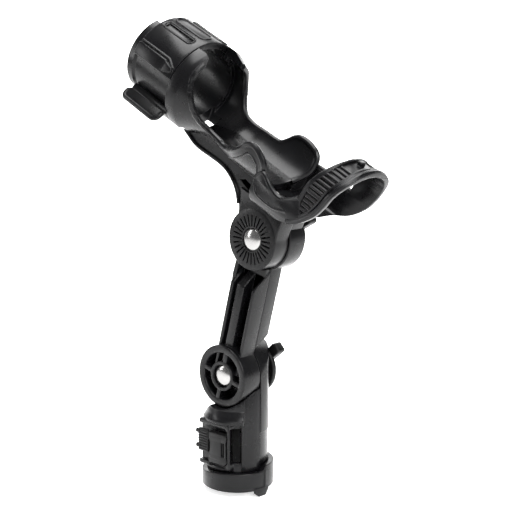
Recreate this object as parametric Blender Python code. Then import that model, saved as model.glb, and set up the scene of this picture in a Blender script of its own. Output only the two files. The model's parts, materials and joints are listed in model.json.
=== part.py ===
"""Rod holder for a kayak or a small boat.

A hollow post drops over a deck stud and is held by a turning lock ring. Two
ratchet joints, each a domed bolt and a wing knob, carry a tilting arm and a
cradle. The rod's handle lies in the cradle's slotted tube, under a front arch,
and a C-shaped collar turns over the tube's slot to lock it in.
Units are metres, +Z is up, +X is the way the rod points and +Y is the knob side.
"""
import math

import bmesh
import bpy
from mathutils import Matrix, Vector

for old_object in list(bpy.data.objects):
    bpy.data.objects.remove(old_object, do_unlink=True)

MM = 0.001

# ---- driving dimensions -------------------------------------------------
CLEAR = 0.3 * MM            # gap between touching or sliding faces

ARM_LENGTH = 101.6 * MM     # joint axis to joint axis
ARM_TILT = math.radians(14.8)
HEAD_PITCH = math.radians(27.5)
LOWER_AXIS_Z = 80.1 * MM
HEAD_RISE = 62.0 * MM       # upper joint axis to the rod tube's axis

POST_R = 21.3 * MM
SOCKET_R = 17.5 * MM
SOCKET_DEPTH = 44.0 * MM

RING_WALL = 3.9 * MM
RING_LOW = 10.6 * MM        # height of the ring's cam edge
RING_HIGH = 16.8 * MM
RING_SHELF = 13.2 * MM

BOLT_R = 4.0 * MM
BOLT_HEAD_R = BOLT_R + 3.6 * MM
BOLT_CHAMFER = 0.6 * MM        # chamfer on the bolt's end
LOWER_DISC_R = 22.0 * MM
LOWER_NEAR_T = 16.9 * MM
LOWER_FAR_T = 15.7 * MM
LOWER_HEAD_SEAT = 4.2 * MM  # depth of the bolt head's seat in the arm
UPPER_DISC_R = 20.9 * MM
UPPER_NEAR_T = 13.7 * MM
UPPER_FAR_R = 22.2 * MM
UPPER_FAR_T = 15.9 * MM
UPPER_HEAD_SEAT = 2.4 * MM  # and in the cradle's disc
SPRING_SEAT_R = BOLT_R + 4.0 * MM   # release spring's seat in each ear
SPRING_SEAT_DEPTH = 4.0 * MM

ARM_HALF_WIDTH = 11.3 * MM
ARM_NEAR_Y = 13.5 * MM
ARM_FAR_Y = 11.0 * MM
ARM_FLANGE = 2.6 * MM
ARM_WEB = 4.2 * MM
ARM_RIB = (-5.0 * MM, 1.7 * MM)   # sides of the rib down the near channel

TUBE_BORE_R = 24.0 * MM
TUBE_WALL = 3.5 * MM
TROUGH_WALL = 3.6 * MM
WAIST_R = TUBE_BORE_R - 2.4 * MM    # bore radius where the trough narrows
MOUTH_R = TUBE_BORE_R + 2.8 * MM    # bore radius between the two horns
COLLAR_LENGTH = 40.4 * MM
COLLAR_FRONT = 99.9 * MM
COLLAR_WALL = 5.1 * MM
FLANGE_LENGTH = 7.4 * MM

ARCH_WALL = 5.0 * MM
ARCH_HALF_WIDTH = TUBE_BORE_R + 4.0 * MM
ARCH_TOP = TUBE_BORE_R - 0.8 * MM
ARCH_FLOOR = TUBE_BORE_R + 9.3 * MM     # underside of the arch's floor below the tube axis

KNOB_HUB_R = BOLT_R + 6.5 * MM
KNOB_FLANGE_R = 18.2 * MM
KNOB_WING_R = 26.0 * MM
KNOB_DEPTH = 10.0 * MM
NUT_R = BOLT_R + 1.6 * MM   # across the corners of the knob's nut
NUT_SEAT_DEPTH = 8.0 * MM
WASHER_T = 1.2 * MM
WASHER_R = BOLT_R + 5.0 * MM
SCREW_R = 1.6 * MM
SCREW_LENGTH = 8.0 * MM
SCREWS = [(-1.0 * MM, -7.0 * MM), (11.0 * MM, 7.0 * MM)]

# ---- values that follow from them ---------------------------------------
HALF_GAP = CLEAR / 2
BOLT_HOLE_R = BOLT_R + CLEAR
TUBE_R = TUBE_BORE_R + TUBE_WALL
TROUGH_R = TUBE_BORE_R + TROUGH_WALL
COLLAR_BORE_R = TUBE_R + CLEAR
COLLAR_R = COLLAR_BORE_R + COLLAR_WALL
COLLAR_BACK = COLLAR_FRONT + COLLAR_LENGTH
TUBE_BACK = COLLAR_BACK + FLANGE_LENGTH + 0.7 * MM    # rear end of the tube
STOP_FRONT_S = -COLLAR_FRONT + CLEAR
STOP_DEPTH = COLLAR_FRONT - 4.0 * MM   # rear face of the wide mouth, inside the tube
SEGMENTS = 48
MERGE = 0.002 * MM            # points closer than this are one point


def material(name, colour, roughness, metallic=0.0):
    """A Principled finish."""
    made = bpy.data.materials.new(name)
    made.use_nodes = True
    shader = made.node_tree.nodes["Principled BSDF"]
    shader.inputs["Base Color"].default_value = (*colour, 1.0)
    shader.inputs["Roughness"].default_value = roughness
    shader.inputs["Metallic"].default_value = metallic
    return made


NYLON = material("black_nylon", (0.030, 0.030, 0.033), 0.42)
NYLON_MATT = material("black_nylon_matt", (0.022, 0.022, 0.025), 0.6)
STEEL = material("stainless_steel", (0.72, 0.71, 0.69), 0.18, 1.0)
BRASS = material("brass", (0.68, 0.50, 0.22), 0.3, 1.0)


def empty(name, matrix):
    """A joint axis or a sub-frame, which sub-parts hang from."""
    axis = bpy.data.objects.new(name, None)
    bpy.context.collection.objects.link(axis)
    axis.matrix_world = matrix
    return axis


ORIGIN = empty("base_axis", Matrix.Identity(4))
LOWER_M = Matrix.Translation((0, 0, LOWER_AXIS_Z)) @ Matrix.Rotation(ARM_TILT, 4, "Y")
LOWER = empty("lower_axis", LOWER_M)
UPPER_POINT = LOWER_M @ Vector((0, 0, ARM_LENGTH))
UPPER_M = Matrix.Translation(UPPER_POINT) @ Matrix.Rotation(HEAD_PITCH, 4, "Y")
UPPER = empty("upper_axis", UPPER_M)
HEAD_M = UPPER_M @ Matrix.Translation((0, 0, HEAD_RISE))
HEAD = empty("rod_axis", HEAD_M)


# ---- modelling helpers ---------------------------------------------------
def solid(bm, name="piece"):
    """Turn a bmesh into an object whose faces point outwards."""
    bmesh.ops.remove_doubles(bm, verts=bm.verts, dist=1e-6)
    bmesh.ops.recalc_face_normals(bm, faces=bm.faces)
    mesh = bpy.data.meshes.new(name)
    bm.to_mesh(mesh)
    bm.free()
    made = bpy.data.objects.new(name, mesh)
    bpy.context.collection.objects.link(made)
    return made


def prism(outline, low, high, to_xyz=lambda a, b, c: (a, c, b)):
    """Extrude a closed outline; by default it lies in XZ and grows along Y."""
    bm = bmesh.new()
    bottom = [bm.verts.new(to_xyz(a, b, low)) for a, b in outline]
    face = bm.faces.new(bottom)
    grown = bmesh.ops.extrude_face_region(bm, geom=[face])["geom"]
    lift = Vector(to_xyz(0, 0, high)) - Vector(to_xyz(0, 0, low))
    bmesh.ops.translate(bm, vec=lift, verts=[v for v in grown if isinstance(v, bmesh.types.BMVert)])
    return solid(bm)


def along_x(a, b, c):
    """Outline in YZ, grown along X."""
    return (c, a, b)


def along_z(a, b, c):
    """Outline in XY, grown along Z."""
    return (a, b, c)


def box(x0, x1, y0, y1, z0, z1):
    """A block between two corners."""
    return prism([(x0, z0), (x1, z0), (x1, z1), (x0, z1)], y0, y1)


def turned(profile, axis="Z", segments=SEGMENTS):
    """Turn a closed (radius, height) profile round an axis."""
    bm = bmesh.new()
    ring = [bm.verts.new((r, 0, h)) for r, h in profile]
    edges = [bm.edges.new((ring[i - 1], ring[i])) for i in range(len(ring))]
    bmesh.ops.spin(bm, geom=ring + edges, axis=(0, 0, 1), cent=(0, 0, 0),
                   angle=math.tau, steps=segments, use_merge=True)
    bmesh.ops.dissolve_degenerate(bm, dist=1e-7, edges=bm.edges)
    made = solid(bm)
    turn = {"Z": Matrix.Identity(4),
            "X": Matrix.Rotation(math.pi / 2, 4, "Y"),
            "Y": Matrix.Rotation(-math.pi / 2, 4, "X")}[axis]
    made.data.transform(turn)
    return made


def disc(radius, low, high, axis="Y", segments=SEGMENTS):
    """A round bar between two heights on an axis."""
    return turned([(0, low), (radius, low), (radius, high), (0, high)], axis, segments)


def tube(inner, outer, low, high, axis="X", segments=SEGMENTS):
    """A round sleeve between two heights on an axis."""
    return turned([(inner, low), (outer, low), (outer, high), (inner, high)], axis, segments)


def moved(made, x=0.0, y=0.0, z=0.0, turn=None):
    """Shift, and first turn, a piece's mesh."""
    matrix = Matrix.Translation((x, y, z))
    if turn:
        matrix = matrix @ Matrix.Rotation(turn[0], 4, turn[1])
    made.data.transform(matrix)
    return made


def merged(tools):
    """Gather several tools into one mesh, each still its own closed body."""
    first = tools[0]
    bm = bmesh.new()
    for tool in tools:
        bm.from_mesh(tool.data)
    bm.to_mesh(first.data)
    bm.free()
    for tool in tools[1:]:
        bpy.data.objects.remove(tool, do_unlink=True)
    return first


def combine(target, tools, operation):
    """Apply one Boolean with all the tools together and remove them."""
    step = target.modifiers.new("step", "BOOLEAN")
    step.use_self = len(tools) > 1
    step.object = merged(tools)
    step.operation = operation
    step.solver = "EXACT"
    graph = bpy.context.evaluated_depsgraph_get()
    result = bpy.data.meshes.new_from_object(target.evaluated_get(graph))
    bpy.data.objects.remove(step.object, do_unlink=True)
    target.modifiers.clear()
    bm = bmesh.new()
    bm.from_mesh(result)
    bmesh.ops.remove_doubles(bm, verts=bm.verts, dist=MERGE)
    bmesh.ops.dissolve_degenerate(bm, dist=MERGE, edges=bm.edges)
    bm.to_mesh(result)
    bm.free()
    target.data = result
    return target


def join(target, *tools):
    return combine(target, tools, "UNION")


def cut(target, *tools):
    return combine(target, tools, "DIFFERENCE")


def keep(target, tool):
    return combine(target, [tool], "INTERSECT")


def polar(radius, degrees):
    """A point on a circle."""
    turn = math.radians(degrees)
    return (radius * math.cos(turn), radius * math.sin(turn))


def arc(centre, radius, start, end, steps):
    """Points along an arc, with angles in degrees."""
    points = []
    for i in range(steps + 1):
        a, b = polar(radius, start + (end - start) * i / steps)
        points.append((centre[0] + a, centre[1] + b))
    return points


def smooth(points, steps=4):
    """A Catmull-Rom curve through hand-placed points, ends included."""
    curve = []
    padded = [points[0]] + list(points) + [points[-1]]
    for p0, p1, p2, p3 in zip(padded, padded[1:], padded[2:], padded[3:]):
        for i in range(steps):
            t = i / steps
            curve.append(tuple(
                0.5 * (2 * b + (c - a) * t + (2 * a - 5 * b + 4 * c - d) * t * t
                       + (3 * b - a - 3 * c + d) * t ** 3)
                for a, b, c, d in zip(p0, p1, p2, p3)))
    curve.append(tuple(points[-1]))
    return curve


def mm(*pairs):
    """Outline points given in millimetres."""
    return [(a * MM, b * MM) for a, b in pairs]


def coil(radius, wire, low, high, turns, axis_sides=12, wire_sides=6):
    """A helical compression spring along Z with flat-capped ends."""
    bm = bmesh.new()
    count = int(turns * axis_sides)
    rings = []
    for i in range(count + 1):
        angle = math.tau * turns * i / count
        height = low + wire + (high - low - 2 * wire) * i / count
        outward = Vector((math.cos(angle), math.sin(angle), 0))
        centre = outward * radius + Vector((0, 0, height))
        ring = []
        for j in range(wire_sides):
            swing = math.tau * j / wire_sides
            ring.append(bm.verts.new(centre + wire * (outward * math.cos(swing)
                                                      + Vector((0, 0, math.sin(swing))))))
        rings.append(ring)
    for a, b in zip(rings, rings[1:]):
        for j in range(wire_sides):
            k = (j + 1) % wire_sides
            bm.faces.new((a[j], a[k], b[k], b[j]))
    bm.faces.new(rings[0])
    bm.faces.new(list(reversed(rings[-1])))
    return solid(bm)


def finish(made, name, finish_material, parent):
    """Name a sub-part, give it its finish and hang it from its axis."""
    made.name = name
    made.data.name = name
    made.data.materials.clear()
    made.data.materials.append(finish_material)
    made.parent = parent
    made.data.shade_smooth()
    made.data.set_sharp_from_angle(angle=math.radians(35))
    return made


# ---- post -----------------------------------------------------------------
HOUSING_X0, HOUSING_X1 = -17.4 * MM, 12.4 * MM
HOUSING_FACE_Y = -(POST_R + 0.7 * MM)
HOUSING_Z0, HOUSING_Z1 = 15.0 * MM, 49.5 * MM
RECESS_X1 = 10.4 * MM
RECESS_Z0, RECESS_Z1 = 18.0 * MM, 45.0 * MM
RECESS_FLOOR_Y = -(SOCKET_R + 1.1 * MM)
SADDLE_R = LOWER_DISC_R + 0.8 * MM
KNOB_SHELF_Z = LOWER_AXIS_Z - KNOB_WING_R - 1.2 * MM
SPRING_X = -12.4 * MM
SPRING_Z = 33.0 * MM
SPRING_POCKET_R = 3.4 * MM
SPRING_POCKET_Y = -14.6 * MM
CLIP_Z0, CLIP_Z1 = 1.4 * MM, 2.7 * MM
CLIP_GROOVE_R = POST_R - 1.1 * MM


def make_post():
    """Moulded post: socket below, latch housing on the near face, ear above."""
    post = disc(POST_R, 0.4 * MM, LOWER_AXIS_Z - 7.0 * MM, "Z")
    ear = prism([(-LOWER_DISC_R, 40 * MM), (LOWER_DISC_R, 40 * MM)]
                + arc((0, LOWER_AXIS_Z), LOWER_DISC_R, 0, 180, 24), HALF_GAP, LOWER_FAR_T)
    ear_fit = disc(LOWER_DISC_R, 30 * MM, 120 * MM, "Z")
    housing = box(HOUSING_X0, HOUSING_X1, HOUSING_FACE_Y, -8 * MM, HOUSING_Z0, HOUSING_Z1 + 2 * MM)
    lip = prism(mm((-21.8, 50.2), (-14, 49.2), (12.4, 49.2), (16, 60), (0, 59), (-15.5, 56.2)),
                HOUSING_FACE_Y + 2.2 * MM, -2 * MM)
    foot_lip = prism(mm((-20.4, 17.8), (-19.4, 15.2), (-13.0, 13.9), (-9, 15.1), (-9, 18.5), (-19, 20)),
                     HOUSING_FACE_Y - 0.6 * MM, -12 * MM)
    join(post, keep(ear, ear_fit), housing, lip, foot_lip)

    saddle = prism([(-34 * MM, 46 * MM), (-22 * MM, 52.0 * MM), (-15.5 * MM, 56.0 * MM)]
                   + arc((0, LOWER_AXIS_Z), SADDLE_R, -112, 0, 24)
                   + [(SADDLE_R, 130 * MM), (-34 * MM, 130 * MM)], -40 * MM, HALF_GAP)
    shelf = box(-30 * MM, 30 * MM, LOWER_FAR_T + 0.05 * MM, 30 * MM, KNOB_SHELF_Z, 120 * MM)
    socket = disc(SOCKET_R, -5 * MM, SOCKET_DEPTH, "Z")
    bolt_hole = moved(disc(BOLT_HOLE_R, -30 * MM, 30 * MM, "Y", 24), z=LOWER_AXIS_Z)
    spring_bore = moved(disc(SPRING_SEAT_R, -30 * MM, SPRING_SEAT_DEPTH, "Y", 24), z=LOWER_AXIS_Z)
    recess = box(-40 * MM, RECESS_X1, -40 * MM, RECESS_FLOOR_Y, RECESS_Z0, RECESS_Z1)
    pocket = moved(disc(SPRING_POCKET_R, -30 * MM, SPRING_POCKET_Y, "Y", 20), x=SPRING_X, z=SPRING_Z)
    side_slot = moved(box(POST_R - 2.6 * MM, POST_R + 4 * MM, -2.8 * MM, 2.8 * MM, 24 * MM, 47.5 * MM),
                      turn=(math.radians(-43), "Z"))
    groove = tube(CLIP_GROOVE_R, POST_R + 5 * MM, CLIP_Z0, CLIP_Z1, "Z")
    cut(post, saddle, shelf, socket, bolt_hole, spring_bore, recess, pocket, side_slot, groove)
    return finish(post, "post_body", NYLON, ORIGIN)


def ring_height(degrees):
    """Height of the cam edge round the lock ring."""
    stops = [(-180, RING_LOW), (-138, RING_LOW), (-62, RING_SHELF), (-4, RING_SHELF),
             (6, RING_HIGH), (70, RING_HIGH), (140, RING_LOW), (180, RING_LOW)]
    for (a0, h0), (a1, h1) in zip(stops, stops[1:]):
        if a0 <= degrees <= a1:
            return h0 + (h1 - h0) * (degrees - a0) / (a1 - a0)
    return RING_LOW


def make_lock_ring():
    """Turning ring at the foot, with a cam edge and a thumb lug."""
    inner, outer = POST_R + CLEAR, POST_R + CLEAR + RING_WALL
    steps = 60
    bm = bmesh.new()
    rows = []
    for i in range(steps):
        degrees = -180 + 360 * i / steps
        top = ring_height(degrees)
        rows.append([bm.verts.new((*polar(r, degrees), h))
                     for r, h in ((inner, 0), (outer, 0), (outer, top), (inner, top))])
    for a, b in zip(rows, rows[1:] + rows[:1]):
        for j in range(4):
            k = (j + 1) % 4
            bm.faces.new((a[j], b[j], b[k], a[k]))
    ring = solid(bm)
    lug = prism(mm((-6.6, -1.6), (-3.2, -4.4), (3.2, -4.4), (5.6, 0), (5.6, 2), (-6.6, 2)),
                inner + 0.5 * MM, outer + 0.6 * MM, along_x)
    moved(lug, turn=(math.radians(-5), "Z"))
    rib = box(inner + 1.5 * MM, outer + 0.9 * MM, -1.2 * MM, 1.2 * MM, 1 * MM, RING_SHELF + 1.2 * MM)
    moved(rib, turn=(math.radians(2), "Z"))
    join(ring, lug, rib)
    clip_room = disc(POST_R + 2.1 * MM, -10 * MM, CLIP_Z1 + CLEAR, "Z")
    cut(ring, clip_room, disc(inner, -10 * MM, 40 * MM, "Z"))
    return finish(ring, "post_lock_ring", NYLON, ORIGIN)


def make_ring_clip():
    """Sprung wire clip in the post's groove that keeps the ring on."""
    clip = tube(CLIP_GROOVE_R + CLEAR, POST_R + 1.6 * MM, CLIP_Z0 + CLEAR / 2, CLIP_Z1 - CLEAR / 2, "Z")
    cut(clip, box(-40 * MM, 0, -5 * MM, 5 * MM, -5 * MM, 10 * MM))
    return finish(clip, "ring_clip", STEEL, ORIGIN)


LATCH_FACE_Y = HOUSING_FACE_Y - 0.9 * MM
BUTTON_TRAVEL = 1.5 * MM
BUTTON_SPLIT_X = -7.2 * MM
BUTTON_BACK_Y = RECESS_FLOOR_Y - 2.2 * MM


def make_latch_plate():
    """Cover plate that closes the latch recess, with flared shoulders."""
    x0, x1 = BUTTON_SPLIT_X + CLEAR, RECESS_X1 - CLEAR
    z0, z1 = RECESS_Z0 + CLEAR, RECESS_Z1 - 4.2 * MM
    plate = box(x0, x1, LATCH_FACE_Y, RECESS_FLOOR_Y - CLEAR, z0, z1)
    groove = box(x1 - 2.4 * MM, x1 - 1.4 * MM, LATCH_FACE_Y - 1 * MM, LATCH_FACE_Y + 1.2 * MM,
                 z0 + 3 * MM, z1 - 3 * MM)
    top_slope = prism([(LATCH_FACE_Y - 1 * MM, z1 - 3 * MM), (LATCH_FACE_Y + 2.4 * MM, z1 + 1 * MM),
                       (LATCH_FACE_Y - 1 * MM, z1 + 1 * MM)], x0 - 1 * MM, x1 + 1 * MM, along_x)
    cut(plate, groove, top_slope)
    return finish(plate, "latch_plate", NYLON_MATT, ORIGIN)


def make_latch_button():
    """Ribbed push button that frees the post from its stud."""
    x0, x1 = HOUSING_X0 + CLEAR, BUTTON_SPLIT_X - CLEAR
    z0, z1 = 24.6 * MM, 41.4 * MM
    button = box(x0, x1, LATCH_FACE_Y - 0.6 * MM, BUTTON_BACK_Y, z0, z1)
    lugs = [moved(disc(1.6 * MM, x0 - 1.8 * MM, x0 + 2 * MM, "X", 16), y=HOUSING_FACE_Y - 0.2 * MM, z=z)
            for z in (28.2 * MM, 38.9 * MM)]
    join(button, *lugs)
    ribs = [box(x0 - 1 * MM, x1 + 1 * MM, LATCH_FACE_Y - 2 * MM, LATCH_FACE_Y,
                z0 + (1.9 + 2.6 * i) * MM, z0 + (3.1 + 2.6 * i) * MM) for i in range(5)]
    cut(button, *ribs)
    return finish(button, "latch_button", NYLON_MATT, ORIGIN)


def make_latch_spring():
    """Small coil that pushes the button out."""
    spring = coil(2.4 * MM, 0.45 * MM, -(SPRING_POCKET_Y - CLEAR),
                  -(BUTTON_BACK_Y + BUTTON_TRAVEL + CLEAR), 3, 10, 5)
    spring.data.transform(Matrix.Rotation(math.pi / 2, 4, "X"))
    moved(spring, x=SPRING_X, z=SPRING_Z)
    return finish(spring, "latch_spring", STEEL, ORIGIN)


# ---- joint hardware ---------------------------------------------------------
def make_bolt(name, near_face, far_face, seat, parent):
    """Stainless bolt with a polished dome on the near side."""
    head_back = -near_face + seat - CLEAR
    end = far_face + WASHER_T + 2 * CLEAR + KNOB_DEPTH - 2.5 * MM
    dome = [(0.0, head_back - 3.4 * MM)]
    for degrees in (22, 45, 68, 90):
        rise, reach = polar(1.0, degrees)
        dome.append((BOLT_HEAD_R * reach, head_back - 0.9 * MM - 2.5 * MM * rise))
    profile = dome + [(BOLT_HEAD_R, head_back), (BOLT_R, head_back), (BOLT_R, end - BOLT_CHAMFER),
                      (BOLT_R - BOLT_CHAMFER, end), (0, end)]
    return finish(turned(profile, "Y", 32), name, STEEL, parent)


def make_washer(name, far_face, parent):
    """Flat washer between the ear and the knob."""
    low = far_face + CLEAR
    washer = tube(BOLT_HOLE_R, WASHER_R, low, low + WASHER_T, "Y", 32)
    return finish(washer, name, STEEL, parent)


def make_knob(name, far_face, wing_angle, parent):
    """Two-winged clamping knob."""
    low = far_face + CLEAR + WASHER_T + CLEAR
    high = low + KNOB_DEPTH
    knob = turned([(0, low), (KNOB_FLANGE_R - 1 * MM, low), (KNOB_FLANGE_R, low + 1 * MM),
                   (KNOB_FLANGE_R, low + 3.2 * MM), (KNOB_HUB_R + 1.5 * MM, low + 4.6 * MM),
                   (KNOB_HUB_R, high - 1.2 * MM), (KNOB_HUB_R - 1.2 * MM, high), (0, high)], "Y", 36)
    half = 3.4 * MM
    tip = KNOB_WING_R - 2.6 * MM
    wings = prism([(-KNOB_WING_R, -half * 0.7), (-tip, -half), (tip, -half), (KNOB_WING_R, -half * 0.7),
                   (KNOB_WING_R, half * 0.7), (tip, half), (-tip, half), (-KNOB_WING_R, half * 0.7)],
                  low + 1.6 * MM, high - 1.0 * MM)
    join(knob, moved(wings, turn=(-wing_angle, "Y")))
    seat = disc(NUT_R + CLEAR, high - NUT_SEAT_DEPTH, high + 5 * MM, "Y", 6)
    bore = disc(BOLT_HOLE_R, low - 5 * MM, high + 5 * MM, "Y", 24)
    cut(knob, seat, bore)
    return finish(knob, name, NYLON, parent)


def make_insert(name, far_face, parent):
    """Brass hexagonal nut pressed into the knob."""
    high = far_face + 2 * CLEAR + WASHER_T + KNOB_DEPTH
    low, top = high - NUT_SEAT_DEPTH + CLEAR, high - 1.4 * MM
    nut = turned([(BOLT_HOLE_R, low), (NUT_R, low), (NUT_R, top), (BOLT_HOLE_R, top)], "Y", 6)
    cut(nut, disc(BOLT_HOLE_R, 0, 60 * MM, "Y", 24))
    return finish(nut, name, BRASS, parent)


def make_release_spring(name, parent):
    """Coil round the bolt that parts the two ears when the knob is loose."""
    depth = SPRING_SEAT_DEPTH - CLEAR
    spring = coil(BOLT_R + 2.2 * MM, 0.8 * MM, -depth, depth, 2.5, 14, 6)
    spring.data.transform(Matrix.Rotation(math.pi / 2, 4, "X"))
    return finish(spring, name, STEEL, parent)


# ---- arm ------------------------------------------------------------------
SPOKE_HALF = 1.5 * MM
HUB_R = BOLT_HEAD_R + 2.9 * MM
RIM = 5.4 * MM


def make_arm():
    """H-section arm with a near disc below and a far disc above."""
    beam = box(-ARM_HALF_WIDTH, ARM_HALF_WIDTH, -ARM_NEAR_Y, ARM_FAR_Y, 4 * MM, ARM_LENGTH - 6 * MM)
    inner = ARM_HALF_WIDTH - ARM_FLANGE
    web_near = -ARM_NEAR_Y + 9.2 * MM
    near_channels = [box(x0, x1, -40 * MM, web_near, LOWER_DISC_R - 3 * MM, ARM_LENGTH)
                     for x0, x1 in ((-inner, ARM_RIB[0]), (ARM_RIB[1], inner))]
    far_channel = box(-inner, inner, web_near + ARM_WEB, 40 * MM, LOWER_DISC_R + 7 * MM,
                      ARM_LENGTH - UPPER_FAR_R + 1 * MM)
    flank, bulge = -ARM_HALF_WIDTH + 1 * MM, -ARM_HALF_WIDTH - 1.8 * MM
    shoulder = prism([(flank, ARM_LENGTH - 42 * MM), (bulge, ARM_LENGTH - 32 * MM),
                      (bulge, ARM_LENGTH - 22 * MM), (flank, ARM_LENGTH - 12 * MM)],
                     -ARM_NEAR_Y + 1.5 * MM, ARM_FAR_Y - 2 * MM)
    join(beam, shoulder)
    cut(beam, *near_channels, far_channel)

    near_ramp = prism([(-30 * MM, ARM_LENGTH - UPPER_DISC_R - 30 * MM),
                       (HALF_GAP, ARM_LENGTH - UPPER_DISC_R + 0.6 * MM),
                       (HALF_GAP, ARM_LENGTH + 40 * MM), (-30 * MM, ARM_LENGTH + 40 * MM)],
                      -inner, 40 * MM, along_x)
    far_ramp = prism([(-HALF_GAP, -40 * MM), (30 * MM, -40 * MM), (30 * MM, LOWER_DISC_R + 26 * MM),
                      (-HALF_GAP, LOWER_DISC_R + 0.4 * MM)], -40 * MM, 40 * MM, along_x)
    near_disc_room = moved(disc(UPPER_DISC_R + 0.9 * MM, -40 * MM, HALF_GAP), z=ARM_LENGTH)
    far_ear_room = disc(LOWER_DISC_R + 0.9 * MM, -HALF_GAP, 40 * MM)
    cut(beam, near_ramp, far_ramp, near_disc_room, far_ear_room)

    join(beam, disc(LOWER_DISC_R, -LOWER_NEAR_T, -HALF_GAP),
         moved(disc(UPPER_FAR_R, HALF_GAP, UPPER_FAR_T), z=ARM_LENGTH))

    window = tube(HUB_R, LOWER_DISC_R - RIM, -30 * MM, -6 * MM, "Y")
    spokes = join(box(-SPOKE_HALF, SPOKE_HALF, -40 * MM, 0, -30 * MM, 30 * MM),
                  box(-30 * MM, 30 * MM, -41 * MM, 1 * MM, -SPOKE_HALF, SPOKE_HALF))
    cut(window, spokes)
    cut(beam, window,
        disc(BOLT_HEAD_R + CLEAR, -40 * MM, -LOWER_NEAR_T + LOWER_HEAD_SEAT, "Y", 32),
        disc(BOLT_HOLE_R, -40 * MM, 40 * MM, "Y", 24),
        disc(SPRING_SEAT_R, -SPRING_SEAT_DEPTH, 40 * MM, "Y", 24),
        moved(disc(BOLT_HOLE_R, -40 * MM, 40 * MM, "Y", 24), z=ARM_LENGTH),
        moved(disc(SPRING_SEAT_R, -10 * MM, SPRING_SEAT_DEPTH, "Y", 24), z=ARM_LENGTH))
    return finish(beam, "extension_arm", NYLON, LOWER)


# ---- cradle -----------------------------------------------------------------
# Outlines below are (s, w) in millimetres: s runs forward along the tube's
# axis from the joint, w is square to it.
NEAR_WALL = mm((-86.0, 34.0), (-87.6, 24.0), (-87.0, 13.7), (-84.4, 6.9), (-81.4, 1.2), (-76.6, -6.9),
               (-70.0, -12.6), (-60.0, -15.8), (-50.0, -16.4), (-42.0, -16.0), (-35.0, -12.6),
               (-28.2, -7.4), (-23.0, -2.2), (-17.2, 0.4), (-11.0, -1.2), (-5.4, -5.6), (-3.6, -12.0),
               (-4.8, -18.5), (-7.0, -24.0))
FAR_WALL = mm((-79.0, 34.0), (-81.0, 26.0), (-85.0, 12.0), (-82.6, 0.0), (-75.0, -7.4), (-64.0, -9.8),
              (-50.0, -10.4), (-41.0, -10.6), (-35.0, -9.9), (-30.6, -6.0), (-27.0, -1.8), (-22.0, 0.9),
              (-16.0, 1.3), (-10.0, 0.2), (-5.0, -2.2), (-2.6, -7.2), (-2.4, -14.0), (-4.8, -19.5),
              (-7.0, -24.0))
SIDE_RECESS = mm((-84.0, -8.0), (-72.0, -17.0), (-60.0, -19.8), (-50.0, -20.2), (-38.0, -20.6),
                 (-32.0, -22.0), (-40.0, -25.5), (-62.0, -26.4), (-84.0, -24.0), (-90.0, -14.0))
SPINE_EDGE = mm((-84.5, -30.4), (-74.0, -34.0), (-52.0, -33.2), (-42.0, -34.3),
                (-33.6, -37.8), (-27.0, -42.8), (-22.4, -49.0), (-20.2, -54.0))
NECK_FRONT = 17.0 * MM
NECK_TOP = -(ARCH_FLOOR + CLEAR)
NECK_HALF = UPPER_NEAR_T
TROUGH_SLOT = (-99.0 * MM, -86.0 * MM, 18.0 * MM)
RADIAL_SLOTS = 28
RECESS_DEPTH = 1.6 * MM


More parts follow.
